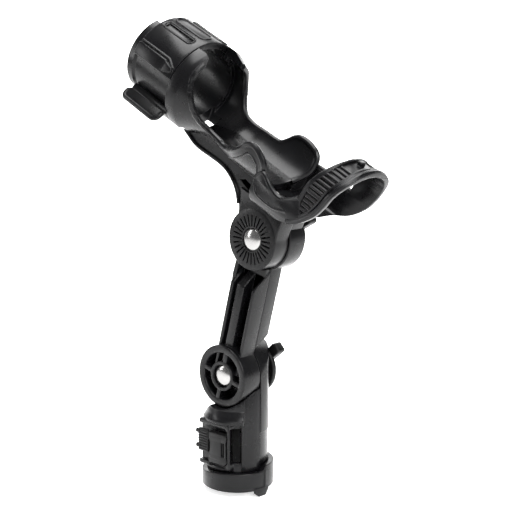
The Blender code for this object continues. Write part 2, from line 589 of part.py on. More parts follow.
def make_cradle():
    """Slotted tube, open trough, neck and near joint disc in one moulding."""
    flange_r = TUBE_R + 1.4 * MM
    waist_r = WAIST_R + TROUGH_WALL
    outside = smooth([(COLLAR_R, STOP_FRONT_S + 9 * MM), (TROUGH_R + 1 * MM, -80 * MM),
                      (waist_r, -67 * MM), (waist_r, -56 * MM), (TROUGH_R, -38 * MM),
                      (TROUGH_R, 20 * MM)], 3)
    inside = smooth([(TUBE_BORE_R, 20 * MM), (TUBE_BORE_R, -38 * MM), (WAIST_R, -56 * MM),
                     (WAIST_R, -67 * MM), (MOUTH_R - 1 * MM, -84 * MM), (MOUTH_R, -STOP_DEPTH)], 3)
    shell = turned([(TUBE_BORE_R, -TUBE_BACK), (flange_r, -TUBE_BACK), (flange_r, -TUBE_BACK + 6 * MM),
                    (TUBE_R, -TUBE_BACK + FLANGE_LENGTH + 0.6 * MM), (TUBE_R, STOP_FRONT_S),
                    (COLLAR_R, STOP_FRONT_S)] + outside + inside + [(TUBE_BORE_R, -STOP_DEPTH)], "X")
    rib = prism(smooth(SPINE_EDGE, 3) + mm((-18, -60), (0, -60), (NECK_FRONT / MM, -50))
                + [(NECK_FRONT, NECK_TOP), (-7.5 * MM, NECK_TOP), (-7.5 * MM, -18 * MM),
                   (-84.5 * MM, -18 * MM)], -NECK_HALF, NECK_HALF)
    joint_disc = moved(disc(UPPER_DISC_R, -UPPER_NEAR_T, -HALF_GAP), z=-HEAD_RISE)
    cheek = prism([(-18.6 * MM, -52 * MM), (-UPPER_DISC_R + 0.3 * MM, -HEAD_RISE),
                   (UPPER_DISC_R - 0.3 * MM, -HEAD_RISE), (NECK_FRONT + 0.2 * MM, -46 * MM),
                   (NECK_FRONT, NECK_TOP - 1 * MM), (-25 * MM, -36 * MM)], -UPPER_NEAR_T, -HALF_GAP)
    far_room = moved(disc(UPPER_FAR_R + 0.9 * MM, -HALF_GAP, 40 * MM), z=-HEAD_RISE)
    far_skirt = box(-40 * MM, 40 * MM, -HALF_GAP, 40 * MM, -100 * MM, -45 * MM)
    cut(rib, far_room, far_skirt)
    join(shell, rib, joint_disc, cheek)

    step = NECK_TOP + 0.2 * MM
    above = [(-7 * MM, step), (60 * MM, step), (60 * MM, 60 * MM), (-84 * MM, 60 * MM)]
    near_top = prism(smooth(NEAR_WALL, 3) + above, -60 * MM, 0)
    far_top = prism(smooth(FAR_WALL, 3) + above, -0.1 * MM, 60 * MM)
    slot_half = 13.0 * MM
    rear_slot = box(-TUBE_BACK - 5 * MM, STOP_FRONT_S + 1 * MM, -slot_half, slot_half, 0, 60 * MM)
    front_slot = box(STOP_FRONT_S - 1 * MM, -60 * MM, -16 * MM, 11 * MM, 6 * MM, 60 * MM)
    recess = prism(smooth(SIDE_RECESS, 2), -60 * MM, 60 * MM)
    rib_core = NECK_HALF - 3 * MM
    cut(recess, turned([(0, 40 * MM)] + [(r - RECESS_DEPTH, h) for r, h in reversed(outside)]
                       + [(COLLAR_R - RECESS_DEPTH, -160 * MM), (0, -160 * MM)], "X"),
        box(-200 * MM, 60 * MM, -rib_core, rib_core, -60 * MM, 60 * MM))
    bore = turned([(0, 20.5 * MM)] + inside + [(TUBE_BORE_R, -STOP_DEPTH), (TUBE_BORE_R, -160 * MM),
                   (0, -160 * MM)], "X")
    floor_slot = box(TROUGH_SLOT[0], TROUGH_SLOT[1], -TROUGH_SLOT[2], TROUGH_SLOT[2], -45 * MM, 0)
    pocket = prism(mm((-29.0, -32.6), (-24.4, -29.8), (-11.4, -31.6), (-13.6, -36.4)), -40 * MM, -5 * MM)
    pocket_hole = prism(mm((-22.5, -30.6), (-12.4, -31.8), (-13.6, -34.4)), -40 * MM, 40 * MM)
    cut(shell, near_top, far_top, rear_slot, front_slot, recess, bore, floor_slot, pocket, pocket_hole)

    slots = []
    for i in range(RADIAL_SLOTS):
        slot = box(8.7 * MM, 16.8 * MM, -40 * MM, -UPPER_NEAR_T + 2.6 * MM, -0.6 * MM, 0.6 * MM)
        slots.append(moved(slot, z=-HEAD_RISE, turn=(math.tau * i / RADIAL_SLOTS, "Y")))
    cut(shell, *slots,
        moved(disc(BOLT_HEAD_R + CLEAR, -40 * MM, -UPPER_NEAR_T + UPPER_HEAD_SEAT, "Y", 32), z=-HEAD_RISE),
        moved(disc(BOLT_HOLE_R, -40 * MM, 40 * MM, "Y", 24), z=-HEAD_RISE),
        moved(disc(SPRING_SEAT_R, -SPRING_SEAT_DEPTH, 2 * MM, "Y", 24), z=-HEAD_RISE),
        *[moved(disc(SCREW_R + CLEAR, NECK_TOP - SCREW_LENGTH, 0, "Z", 12), x=x, y=y) for x, y in SCREWS])
    return finish(shell, "cradle", NYLON, HEAD)


def make_arch():
    """Front arch: two feet rise from a floor on the neck and meet overhead."""
    def hoop(inset):
        side = ARCH_HALF_WIDTH - inset
        floor = -ARCH_FLOOR + inset
        half = [(side - 6 * MM, floor), (side - 1.5 * MM, floor + 2.5 * MM),
                (side, floor + 8 * MM), (side, 0)]
        crown = [(side * math.cos(math.radians(a)), (ARCH_TOP - inset) * math.sin(math.radians(a)))
                 for a in range(12, 91, 13)]
        right = half + crown
        return right + [(-y, z) for y, z in reversed(right) if y > 1e-6]

    hoop_solid = prism(hoop(0.0), -8 * MM, 70 * MM, along_x)
    cut(hoop_solid, prism(hoop(ARCH_WALL), -20 * MM, 80 * MM, along_x))
    foot = -ARCH_FLOOR - 0.1 * MM
    side = ([(-5.2 * MM, foot)]
            + mm((-6.4, -24.0), (-1.2, -14.0), (-1.0, -12.0), (12, -12.2), (27.0, -12.6))
            + smooth(mm((30.6, -10.0), (32.4, 2.0), (36.6, 14.0), (40.5, 24.0), (41.5, 34.0)), 3)
            + smooth(mm((59.0, 34.0), (58.6, 18.0), (55.4, 6.0), (51.6, -5.0), (47.0, -13.8),
                        (38.6, -22.8), (28.4, -28.6), (17.2, -33.4)), 3)[:-1]
            + [(17.2 * MM, foot)])
    keep(hoop_solid, prism(side, -60 * MM, 60 * MM))
    gusset = prism(mm((-4, -33.0), (-9.5, -33.0), (-15, -27.5), (-15, -22.5), (-9, -19.0), (-4, -19.0)),
                   21.2 * MM, 27.6 * MM)
    panel = prism(smooth(mm((33.4, -12.0), (35.2, 3.0), (39.8, 15.0), (43.4, 23.0), (48.5, 23.0),
                            (49.0, 3.0), (45.6, -8.0), (38.6, -16.0)), 2), -60 * MM, 60 * MM)
    grown = hoop(1.2 * MM)
    cut(panel, prism(grown, -80 * MM, 80 * MM, along_x))
    cut(hoop_solid, panel)
    nub = box(44.5 * MM, 48.0 * MM, -2.2 * MM, 2.2 * MM, ARCH_TOP - 4 * MM, ARCH_TOP + 1.2 * MM)
    join(hoop_solid, nub, gusset)
    cut(hoop_solid, disc(TROUGH_R + CLEAR, -30 * MM, 0.6 * MM, "X"),
        *[moved(disc(SCREW_R + CLEAR, -60 * MM, -20 * MM, "Z", 12), x=x, y=y) for x, y in SCREWS])
    return finish(hoop_solid, "front_arch", NYLON, HEAD)


def make_arch_screws():
    """Two countersunk screws that hold the arch's floor to the neck."""
    made = []
    for x, y in SCREWS:
        head_z = -ARCH_FLOOR + ARCH_WALL + CLEAR
        screw = turned([(0, NECK_TOP - SCREW_LENGTH + CLEAR), (SCREW_R, NECK_TOP - SCREW_LENGTH + CLEAR),
                        (SCREW_R, head_z), (3.2 * MM, head_z), (2.6 * MM, head_z + 1.5 * MM),
                        (0, head_z + 1.5 * MM)], "Z", 16)
        made.append(moved(screw, x=x, y=y))
    return made


# ---- collar ------------------------------------------------------------------
def near_polar(radius, degrees):
    """(y, w) point at an angle that rises from the near side."""
    return (-radius * math.cos(math.radians(degrees)), radius * math.sin(math.radians(degrees)))


GAP_LOW, GAP_HIGH = -42.0, 8.0     # ends of the collar's opening, degrees above the near side


def make_collar():
    """C-shaped lock collar with a thumb fin, a grip ridge and rib pads."""
    low, high = -COLLAR_BACK, -COLLAR_FRONT
    collar = turned([(COLLAR_BORE_R, low), (COLLAR_R - 1 * MM, low), (COLLAR_R, low + 1.2 * MM),
                     (COLLAR_R, high - 1.2 * MM), (COLLAR_R - 1 * MM, high), (COLLAR_BORE_R, high)], "X")
    reach = 70 * MM
    gap = prism([(0, 0), near_polar(reach, GAP_LOW), near_polar(reach, (GAP_LOW + GAP_HIGH) / 2),
                 near_polar(reach, GAP_HIGH)], low - 5 * MM, high + 5 * MM, along_x)
    cut(collar, gap)

    def pad(start, end, rise, s0, s1):
        inner = [near_polar(COLLAR_R - 1.5 * MM, start + (end - start) * i / 4) for i in range(5)]
        outer = [near_polar(COLLAR_R + rise, start + (end - start) * i / 4) for i in range(5)]
        return prism(inner + outer[::-1], s0, s1, along_x)

    fin_root = near_polar(COLLAR_BORE_R + 0.8 * MM, GAP_LOW - 3)
    fin_back, fin_front, fin_top = low - 1.5 * MM, high - 4 * MM, COLLAR_R + 8.6 * MM
    fin = prism([(low + 0.5 * MM, COLLAR_BORE_R + 0.8 * MM), (fin_front, COLLAR_BORE_R + 0.8 * MM),
                 (fin_front, fin_top - 5 * MM), (fin_front - 5 * MM, fin_top),
                 (fin_back + 3 * MM, fin_top), (fin_back, fin_top - 3 * MM),
                 (fin_back, COLLAR_R + 1.2 * MM), (low + 0.5 * MM, COLLAR_R)], -1.4 * MM, 1.4 * MM)
    fin_angle = math.atan2(-fin_root[0], fin_root[1])
    join(collar, moved(fin, turn=(fin_angle, "X")),
         pad(12, 24, 1.5 * MM, low + 1.5 * MM, high - 2 * MM),
         pad(75, 79, 1.2 * MM, low + 4 * MM, high - 7 * MM),
         pad(88, 92, 1.2 * MM, low + 4 * MM, high - 7 * MM),
         pad(103, 116, 1.6 * MM, low + 8 * MM, high - 3 * MM))
    cut(collar, pad(60, 65, 3 * MM, low + 6 * MM, high - 8 * MM))
    return finish(collar, "lock_collar", NYLON, HEAD)


# ---- the whole object --------------------------------------------------------
make_post()
make_lock_ring()
make_ring_clip()
make_latch_plate()
make_latch_button()
make_latch_spring()
make_arm()
make_bolt("lower_bolt", LOWER_NEAR_T, LOWER_FAR_T, LOWER_HEAD_SEAT, LOWER)
make_washer("lower_washer", LOWER_FAR_T, LOWER)
make_knob("lower_knob", LOWER_FAR_T, math.radians(57), LOWER)
make_insert("lower_knob_nut", LOWER_FAR_T, LOWER)
make_release_spring("lower_release_spring", LOWER)
make_cradle()
make_bolt("upper_bolt", UPPER_NEAR_T, UPPER_FAR_T, UPPER_HEAD_SEAT, UPPER)
make_washer("upper_washer", UPPER_FAR_T, UPPER)
make_knob("upper_knob", UPPER_FAR_T, math.radians(60), UPPER)
make_insert("upper_knob_nut", UPPER_FAR_T, UPPER)
make_release_spring("upper_release_spring", UPPER)
make_arch()
for number, arch_screw in enumerate(make_arch_screws(), 1):
    finish(arch_screw, f"arch_screw_{number}", STEEL, HEAD)
make_collar()
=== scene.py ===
"""A rod holder for a small boat, put together piece by piece for a studio picture."""
import json
import math

import bpy
from mathutils import Matrix, Vector


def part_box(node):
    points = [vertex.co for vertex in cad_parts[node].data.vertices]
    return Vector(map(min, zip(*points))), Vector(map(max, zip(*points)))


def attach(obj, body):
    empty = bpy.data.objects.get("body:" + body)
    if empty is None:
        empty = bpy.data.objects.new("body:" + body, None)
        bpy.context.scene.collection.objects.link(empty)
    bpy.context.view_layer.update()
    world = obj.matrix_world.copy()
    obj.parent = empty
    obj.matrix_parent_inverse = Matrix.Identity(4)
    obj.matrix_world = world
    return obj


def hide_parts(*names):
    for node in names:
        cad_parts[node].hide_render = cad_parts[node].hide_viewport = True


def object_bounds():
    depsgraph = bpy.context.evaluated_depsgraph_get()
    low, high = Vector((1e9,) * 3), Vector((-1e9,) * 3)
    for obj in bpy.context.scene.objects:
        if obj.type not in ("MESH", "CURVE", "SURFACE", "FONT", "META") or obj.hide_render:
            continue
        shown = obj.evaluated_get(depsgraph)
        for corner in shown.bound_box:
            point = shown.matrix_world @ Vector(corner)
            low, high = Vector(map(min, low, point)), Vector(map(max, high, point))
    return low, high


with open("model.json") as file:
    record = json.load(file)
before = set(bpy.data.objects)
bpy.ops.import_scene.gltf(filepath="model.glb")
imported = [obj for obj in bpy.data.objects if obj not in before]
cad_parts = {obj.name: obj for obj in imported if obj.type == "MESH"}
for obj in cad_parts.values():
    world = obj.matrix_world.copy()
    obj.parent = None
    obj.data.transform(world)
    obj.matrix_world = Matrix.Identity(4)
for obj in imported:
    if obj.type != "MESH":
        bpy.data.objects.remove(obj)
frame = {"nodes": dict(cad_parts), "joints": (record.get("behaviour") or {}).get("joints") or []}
CAD_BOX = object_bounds()

# ---- studio ------------------------------------------------------------------
# A pale floor under the holder, a white surround and soft lamps. The camera stands
# off the near right corner, a little above the middle of the holder.
TARGET = Vector((0.0175, 0.0, 0.1647))
CAMERA_AZIMUTH = math.radians(42.506)
CAMERA_ELEVATION = math.radians(9.288)
CAMERA_DISTANCE = 0.7508
LENS = 77.34
BACKDROP_DISTANCE = 1.15
WHITE = (1.0, 1.0, 1.0, 1.0)

bpy.ops.object.select_all(action="DESELECT")
bpy.ops.mesh.primitive_plane_add(size=2.6, location=(0, 0, CAD_BOX[0][2] - 0.0005))
floor = bpy.context.object
floor.name = "studio_floor"
floor_finish = bpy.data.materials.new("studio_floor")
floor_finish.use_nodes = True
floor_shader = floor_finish.node_tree.nodes["Principled BSDF"]
floor_shader.inputs["Base Color"].default_value = (0.96, 0.96, 0.96, 1.0)
floor_shader.inputs["Roughness"].default_value = 0.95
floor_shader.inputs["Specular IOR Level"].default_value = 0.1
floor_shader.inputs["Emission Color"].default_value = WHITE
floor_shader.inputs["Emission Strength"].default_value = 0.62
floor.data.materials.append(floor_finish)

BACKWARD = Vector((math.cos(CAMERA_ELEVATION) * math.sin(CAMERA_AZIMUTH),
                   -math.cos(CAMERA_ELEVATION) * math.cos(CAMERA_AZIMUTH),
                   math.sin(CAMERA_ELEVATION)))
bpy.ops.mesh.primitive_plane_add(size=3.2, location=TARGET - BACKWARD * BACKDROP_DISTANCE,
                                 rotation=BACKWARD.to_track_quat("Z", "Y").to_euler())
backdrop = bpy.context.object
backdrop.name = "studio_backdrop"
paper = bpy.data.materials.new("studio_backdrop")
paper.use_nodes = True
paper_shader = paper.node_tree.nodes["Principled BSDF"]
paper_shader.inputs["Base Color"].default_value = (0.9, 0.9, 0.9, 1.0)
paper_shader.inputs["Emission Color"].default_value = WHITE
paper_shader.inputs["Emission Strength"].default_value = 0.95
backdrop.data.materials.append(paper)

world = bpy.data.worlds.new("studio")
bpy.context.scene.world = world
world.use_nodes = True
surround = world.node_tree.nodes["Background"]
surround.inputs["Color"].default_value = WHITE
surround.inputs["Strength"].default_value = 0.3
bpy.context.scene.view_settings.view_transform = "Standard"


def lamp(name, place, width, height, watts):
    """A soft box that faces the middle of the holder."""
    bpy.ops.object.light_add(type="AREA", location=place)
    made = bpy.context.object
    made.name = name
    made.data.shape = "RECTANGLE"
    made.data.size = width
    made.data.size_y = height
    made.data.energy = watts
    made.rotation_euler = (Vector(place) - TARGET).to_track_quat("Z", "Y").to_euler()


lamp("key_lamp", (1.0, -0.35, 0.75), 0.45, 0.8, 18.0)
lamp("top_lamp", (0.05, -0.05, 1.2), 0.7, 0.9, 24.0)
lamp("side_lamp", (-0.9, -0.8, 0.5), 0.12, 0.7, 4.0)
lamp("back_lamp", (-0.32, 0.95, 1.0), 0.9, 0.7, 5.0)

bpy.ops.object.camera_add()
camera = bpy.context.object
camera.name = "camera"
camera.data.lens = LENS
camera.data.sensor_width = 36.0
camera.data.clip_start = 0.01
camera.location = TARGET + BACKWARD * CAMERA_DISTANCE
camera.rotation_euler = BACKWARD.to_track_quat("Z", "Y").to_euler()
bpy.context.scene.camera = camera

# ---- lock ring ----------------------------------------------------------------
# The foot's turning ring: black glass-filled nylon, moulded in one piece with its
# cam edge, its rib and its thumb lug, and sprung over the post's clip.
MM = 0.001
RING_LOW_EDGE = 10.6 * MM
RING_SHELF = 13.2 * MM
RING_CAM = 16.8 * MM
RING_EDGE = 0.5 * MM
STEPS = 144
SMOOTH_UNDER = math.radians(32)

JOINTS = {joint["name"]: joint for joint in frame["joints"]}


def mm(*pairs):
    """Outline points given in millimetres."""
    return [(a * MM, b * MM) for a, b in pairs]


def only(piece):
    """Select one piece and nothing else."""
    if bpy.context.object and bpy.context.object.mode != "OBJECT":
        bpy.ops.object.mode_set(mode="OBJECT")
    bpy.ops.object.select_all(action="DESELECT")
    if piece:
        piece.select_set(True)
        bpy.context.view_layer.objects.active = piece


def drawn(points, fill="NGON"):
    """A circle pulled to an outline of (x, y, z) points."""
    only(None)
    bpy.ops.mesh.primitive_circle_add(vertices=len(points), radius=MM, fill_type=fill)
    piece = bpy.context.object
    for vertex, point in zip(piece.data.vertices, points):
        vertex.co = point
    return piece


def settle(piece, gap=0.002 * MM):
    """Close seams and point the faces outwards."""
    only(piece)
    bpy.ops.object.mode_set(mode="EDIT")
    bpy.ops.mesh.select_all(action="SELECT")
    bpy.ops.mesh.remove_doubles(threshold=gap)
    bpy.ops.mesh.dissolve_degenerate(threshold=gap)
    bpy.ops.mesh.select_all(action="SELECT")
    bpy.ops.mesh.normals_make_consistent(inside=False)
    bpy.ops.object.mode_set(mode="OBJECT")
    return piece


def soften(piece, width, segments=3, sharper_than=38):
    """Round the edges."""
    if width:
        only(piece)
        edge = piece.modifiers.new("edge", "BEVEL")
        edge.width = width
        edge.segments = segments
        edge.limit_method = "ANGLE"
        edge.angle_limit = math.radians(sharper_than)
        edge.use_clamp_overlap = False
        bpy.ops.object.modifier_apply(modifier=edge.name)
    return piece


def turn(profile, axis="Z", steps=STEPS, edge=0.0):
    """Spin a closed (radius, height) profile round an axis."""
    piece = drawn([(r, 0.0, h) for r, h in profile], "NOTHING")
    bpy.ops.object.mode_set(mode="EDIT")
    bpy.ops.mesh.select_all(action="SELECT")
    bpy.ops.mesh.spin(steps=steps, angle=math.tau, center=(0, 0, 0), axis=(0, 0, 1))
    settle(piece)
    if axis == "X":
        piece.rotation_euler.y = math.pi / 2
    if axis == "Y":
        piece.rotation_euler.x = -math.pi / 2
    bpy.ops.object.transform_apply(location=True, rotation=True, scale=True)
    return soften(piece, edge)


def rod(radius, low, high, axis="Z", steps=STEPS):
    """A plain round bar about an axis, used for bodies and for bored ways."""
    return turn([(0, low), (radius, low), (radius, high), (0, high)], axis, steps)


def sleeve(inner, outer, low, high, axis="Z", steps=STEPS, edge=0.0):
    """A plain round ring about an axis."""
    return turn([(inner, low), (outer, low), (outer, high), (inner, high)], axis, steps, edge)


def slab(outline, low, high, edge=0.0, flat="XZ"):
    """Extrude an outline: one in XZ grows along Y, one in YZ along X, one in XY along Z."""
    lay = {"XZ": lambda a, b, c: (a, c, b), "YZ": lambda a, b, c: (c, a, b),
           "XY": lambda a, b, c: (a, b, c)}[flat]
    piece = drawn([lay(a, b, low) for a, b in outline])
    bpy.ops.object.mode_set(mode="EDIT")
    bpy.ops.mesh.select_all(action="SELECT")
    bpy.ops.mesh.extrude_region_move(TRANSFORM_OT_translate={"value": lay(0, 0, high - low)})
    settle(piece)
    return soften(piece, edge)


def block(x, y, z, edge=0.0):
    """A block between (low, high) pairs, with rounded edges."""
    only(None)
    bpy.ops.mesh.primitive_cube_add(size=1.0)
    piece = bpy.context.object
    piece.location = [sum(pair) / 2 for pair in (x, y, z)]
    piece.scale = [pair[1] - pair[0] for pair in (x, y, z)]
    bpy.ops.object.transform_apply(location=True, rotation=True, scale=True)
    return soften(piece, edge)


def set_in(piece, matrix):
    """Set a piece made at the origin in its place."""
    only(piece)
    piece.matrix_world = matrix
    bpy.ops.object.transform_apply(location=True, rotation=True, scale=True)
    return piece


def moved(piece, x=0.0, y=0.0, z=0.0, degrees=0.0, axis="Z"):
    """Turn a piece about an axis through the origin and shift it."""
    turned = Matrix.Rotation(math.radians(degrees), 4, axis)
    return set_in(piece, Matrix.Translation((x, y, z)) @ turned)


def gather(pieces):
    """Make several meshes one object."""
    only(pieces[0])
    for piece in pieces:
        piece.select_set(True)
    if len(pieces) > 1:
        bpy.ops.object.join()
    return bpy.context.view_layer.objects.active


def carve(piece, cutters, operation="DIFFERENCE"):
    """Cut a piece with some cutters, or union or intersect it with them."""
    cutter = gather(cutters)
    only(piece)
    step = piece.modifiers.new("step", "BOOLEAN")
    step.operation = operation
    step.solver = "EXACT"
    step.use_self = len(cutters) > 1
    step.object = cutter
    bpy.ops.object.modifier_apply(modifier=step.name)
    bpy.data.objects.remove(cutter, do_unlink=True)
    return settle(piece)


def dress(piece, name, finish, slot, body, *nodes):
    """Name a finished piece, give it its finish and hang it on its body."""
    only(piece)
    piece.name = name
    piece.data.name = name
    piece.data.materials.clear()
    piece.data.materials.append(finish)
    bpy.ops.object.shade_smooth_by_angle(angle=SMOOTH_UNDER)
    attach(piece, body)
    if nodes:
        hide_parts(*nodes)


def nylon(name, colour, roughness, grain):
    """Moulded nylon: cloudy flow, fine grain, and a painted highlight that makes the edges paler in patches.
    """
    made = bpy.data.materials.new(name)
    made.use_nodes = True
    tree = made.node_tree
    shader = tree.nodes["Principled BSDF"]
    shader.inputs["Specular IOR Level"].default_value = 0.19
    place = tree.nodes.new("ShaderNodeTexCoord")

    clouds = tree.nodes.new("ShaderNodeTexNoise")
    clouds.inputs["Scale"].default_value = 60.0
    clouds.inputs["Detail"].default_value = 5.0
    speckle = tree.nodes.new("ShaderNodeTexNoise")
    speckle.inputs["Scale"].default_value = 2400.0
    speckle.inputs["Detail"].default_value = 3.0
    for texture in (clouds, speckle):
        tree.links.new(place.outputs["Object"], texture.inputs["Vector"])

    tone = tree.nodes.new("ShaderNodeValToRGB")
    tone.color_ramp.elements[0].position = 0.32
    tone.color_ramp.elements[0].color = (*[c * 0.75 for c in colour], 1.0)
    tone.color_ramp.elements[1].position = 0.7
    tone.color_ramp.elements[1].color = (*[c * 1.3 for c in colour], 1.0)
    tree.links.new(clouds.outputs["Fac"], tone.inputs["Fac"])

    # Painted highlight: where the rounded normal bends away from the face, at the edges, the colour is mixed
    # paler in patches.
    rounded = tree.nodes.new("ShaderNodeBevel")
    rounded.samples = 4
    rounded.inputs["Radius"].default_value = 0.0005
    facing = tree.nodes.new("ShaderNodeNewGeometry")
    bend = tree.nodes.new("ShaderNodeVectorMath")
    bend.operation = "DOT_PRODUCT"
    tree.links.new(rounded.outputs["Normal"], bend.inputs[0])
    tree.links.new(facing.outputs["Normal"], bend.inputs[1])
    painted_edge_highlight = tree.nodes.new("ShaderNodeMapRange")
    painted_edge_highlight.inputs["From Min"].default_value = 0.985
    painted_edge_highlight.inputs["From Max"].default_value = 0.88
    tree.links.new(bend.outputs["Value"], painted_edge_highlight.inputs["Value"])
    patchy_edge_highlight = tree.nodes.new("ShaderNodeMath")
    patchy_edge_highlight.operation = "MULTIPLY"
    tree.links.new(painted_edge_highlight.outputs["Result"], patchy_edge_highlight.inputs[0])
    tree.links.new(clouds.outputs["Fac"], patchy_edge_highlight.inputs[1])
    edge = tree.nodes.new("ShaderNodeMix")
    edge.data_type = "RGBA"
    edge.inputs["B"].default_value = (*[c * 3.0 + 0.014 for c in colour], 1.0)
    tree.links.new(patchy_edge_highlight.outputs["Value"], edge.inputs["Factor"])
    tree.links.new(tone.outputs["Color"], edge.inputs["A"])
    tree.links.new(edge.outputs["Result"], shader.inputs["Base Color"])

    gloss = tree.nodes.new("ShaderNodeMapRange")
    gloss.inputs["To Min"].default_value = roughness - 0.08
    gloss.inputs["To Max"].default_value = roughness + 0.1
    tree.links.new(clouds.outputs["Fac"], gloss.inputs["Value"])
    tree.links.new(gloss.outputs["Result"], shader.inputs["Roughness"])

    bump = tree.nodes.new("ShaderNodeBump")
    bump.inputs["Strength"].default_value = grain
    bump.inputs["Distance"].default_value = 0.00008
    tree.links.new(speckle.outputs["Fac"], bump.inputs["Height"])
    tree.links.new(rounded.outputs["Normal"], bump.inputs["Normal"])
    tree.links.new(bump.outputs["Normal"], shader.inputs["Normal"])
    return made


SATIN_NYLON = nylon("satin_nylon", (0.0026, 0.0026, 0.003), 0.27, 0.22)
MATT_NYLON = nylon("matt_nylon", (0.0026, 0.0026, 0.0028), 0.4, 0.4)


def cam_height(degrees):
    """Height of the ring's cam edge."""
    stops = [(-180, RING_LOW_EDGE), (-138, RING_LOW_EDGE), (-62, RING_SHELF), (-4, RING_SHELF),
             (6, RING_CAM), (70, RING_CAM), (140, RING_LOW_EDGE), (180, RING_LOW_EDGE)]
    for (a0, h0), (a1, h1) in zip(stops, stops[1:]):
        if a0 <= degrees <= a1:
            t = (degrees - a0) / (a1 - a0)
            return h0 + (h1 - h0) * t * t * (3 - 2 * t)
    return RING_LOW_EDGE


ring_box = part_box("post_lock_ring")
RING_OUT = -ring_box[0].x
RING_IN = RING_OUT - 3.9 * MM
ring = turn([(RING_IN + 1.8 * MM, 0.0), (RING_OUT, 0.0), (RING_OUT, 10 * MM), (RING_IN, 10 * MM),
             (RING_IN, 3 * MM), (RING_IN + 1.8 * MM, 3 * MM)], steps=180)
for vertex in ring.data.vertices:
    if vertex.co.z > 9 * MM:
        vertex.co.z = cam_height(math.degrees(math.atan2(vertex.co.y, vertex.co.x)))
soften(ring, RING_EDGE)
ring_lug = slab(mm((-6.6, -1.6), (-3.2, -4.4), (3.2, -4.4), (5.6, 0.0), (5.6, 2), (-6.6, 2)),
                RING_IN + 2.0 * MM, RING_OUT + 0.5 * MM, 0.4 * MM, "YZ")
moved(ring_lug, degrees=-5)
ring_rib = block((RING_OUT - 2 * MM, RING_OUT + 0.8 * MM), (-1.3 * MM, 1.3 * MM),
                 (1 * MM, 14.2 * MM), 0.5 * MM)
moved(ring_rib, degrees=2)
dress(gather([ring, ring_lug, ring_rib]), "lock_ring", SATIN_NYLON, "black_nylon",
      "lock_ring", "post_lock_ring")

# ---- post ---------------------------------------------------------------------
# The foot of the holder: one hollow nylon moulding that drops over the deck stud. It
# has the latch housing on its near face, a curved saddle above and a round joint ear.
AXIS_Z = JOINTS["arm_tilt"]["pos_m"][2]
POST_R = 21.3 * MM
SOCKET_R = 17.5 * MM
EAR_R = 22.0 * MM
EAR_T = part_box("post_body")[1].y
EAR_GAP = 0.15 * MM
SADDLE_R = EAR_R + 0.8 * MM
BOLT_WAY_R = 4.3 * MM
SPRING_SEAT_R = 8 * MM
SPRING_SEAT_END = 4 * MM
HOUSING_Y = -(POST_R + 0.7 * MM)
RECESS_Y = -(SOCKET_R + 1.1 * MM)


def arc(x, y, radius, start, end, steps):
    """Points along an arc, in degrees."""
    turns = [math.radians(start + (end - start) * i / steps) for i in range(steps + 1)]
    return [(x + radius * math.cos(a), y + radius * math.sin(a)) for a in turns]


barrel = rod(POST_R, 0.4 * MM, AXIS_Z - 7 * MM)
ear = slab([(-EAR_R, 40 * MM), (EAR_R, 40 * MM)] + arc(0, AXIS_Z, EAR_R, 0, 180, 96), EAR_GAP, EAR_T)
carve(ear, [rod(EAR_R, 30 * MM, 120 * MM)], "INTERSECT")
housing = block((-17.4 * MM, 12.4 * MM), (HOUSING_Y, -8 * MM), (15 * MM, 48.2 * MM), 1.4 * MM)
lip = turn(mm((15, 46.6), (22.6, 46.9), (24.4, 48.2), (24.2, 49.6), (22.9, 51.0), (21.9, 53.4),
              (21.4, 57), (15, 58)), edge=0.5 * MM)
lip_span = slab(mm((-23.8, -1), (-23.8, -14), (-16, -30), (5, -30), (18.4, -14.5), (15, -1)),
                40 * MM, 60 * MM, flat="XY")
carve(lip, [lip_span], "INTERSECT")
foot_lip = turn(mm((15, 14.6), (23.4, 14.8), (24.2, 15.8), (23.6, 17.2), (15, 17.8)), edge=0.4 * MM)
foot_lip_span = slab(mm((-22.6, -2), (-22.6, -14), (-14, -30), (11.5, -30), (12.5, -2)),
                     10 * MM, 20 * MM, flat="XY")
carve(foot_lip, [foot_lip_span], "INTERSECT")
carve(barrel, [ear, housing, lip, foot_lip], "UNION")

saddle = slab(mm((-34, 46.4), (-23, 50.4), (-18, 52.6), (-13, 55.6))
              + arc(0, AXIS_Z, SADDLE_R, -110, 0, 60)
              + [(SADDLE_R, 130 * MM), (-34 * MM, 130 * MM)], -40 * MM, EAR_GAP)
shelf = block((-30 * MM, 30 * MM), (EAR_T + 0.05 * MM, 30 * MM), (AXIS_Z - 27.2 * MM, 120 * MM))
socket = rod(SOCKET_R, -5 * MM, 44 * MM)
recess = slab(mm((-40, 18.0), (8.4, 18.0), (10.4, 20), (10.4, 43), (8.4, 45.0), (-40, 45.0)),
              -40 * MM, RECESS_Y)
side_slot = slab(mm((0, 0), (9.9, -17.1), (20, -34.6), (30, -25.6)), 19.8 * MM, 45.0 * MM, flat="XY")
bolt_way = moved(rod(BOLT_WAY_R, -30 * MM, 30 * MM, "Y", 48), z=AXIS_Z)
spring_seat = moved(rod(SPRING_SEAT_R, -30 * MM, SPRING_SEAT_END, "Y", 64), z=AXIS_Z)
button_way = moved(rod(3.4 * MM, 14.6 * MM, 30 * MM, "Y", 32), x=-12.4 * MM, z=33 * MM, degrees=180)
clip_groove = sleeve(POST_R - 1.1 * MM, 30 * MM, 1.4 * MM, 2.7 * MM)
carve(barrel, [saddle, shelf, socket, recess, side_slot, bolt_way, spring_seat, button_way, clip_groove])
soften(barrel, 0.35 * MM, 2, 50)
dress(barrel, "post", SATIN_NYLON, "black_nylon", "base", "post_body")

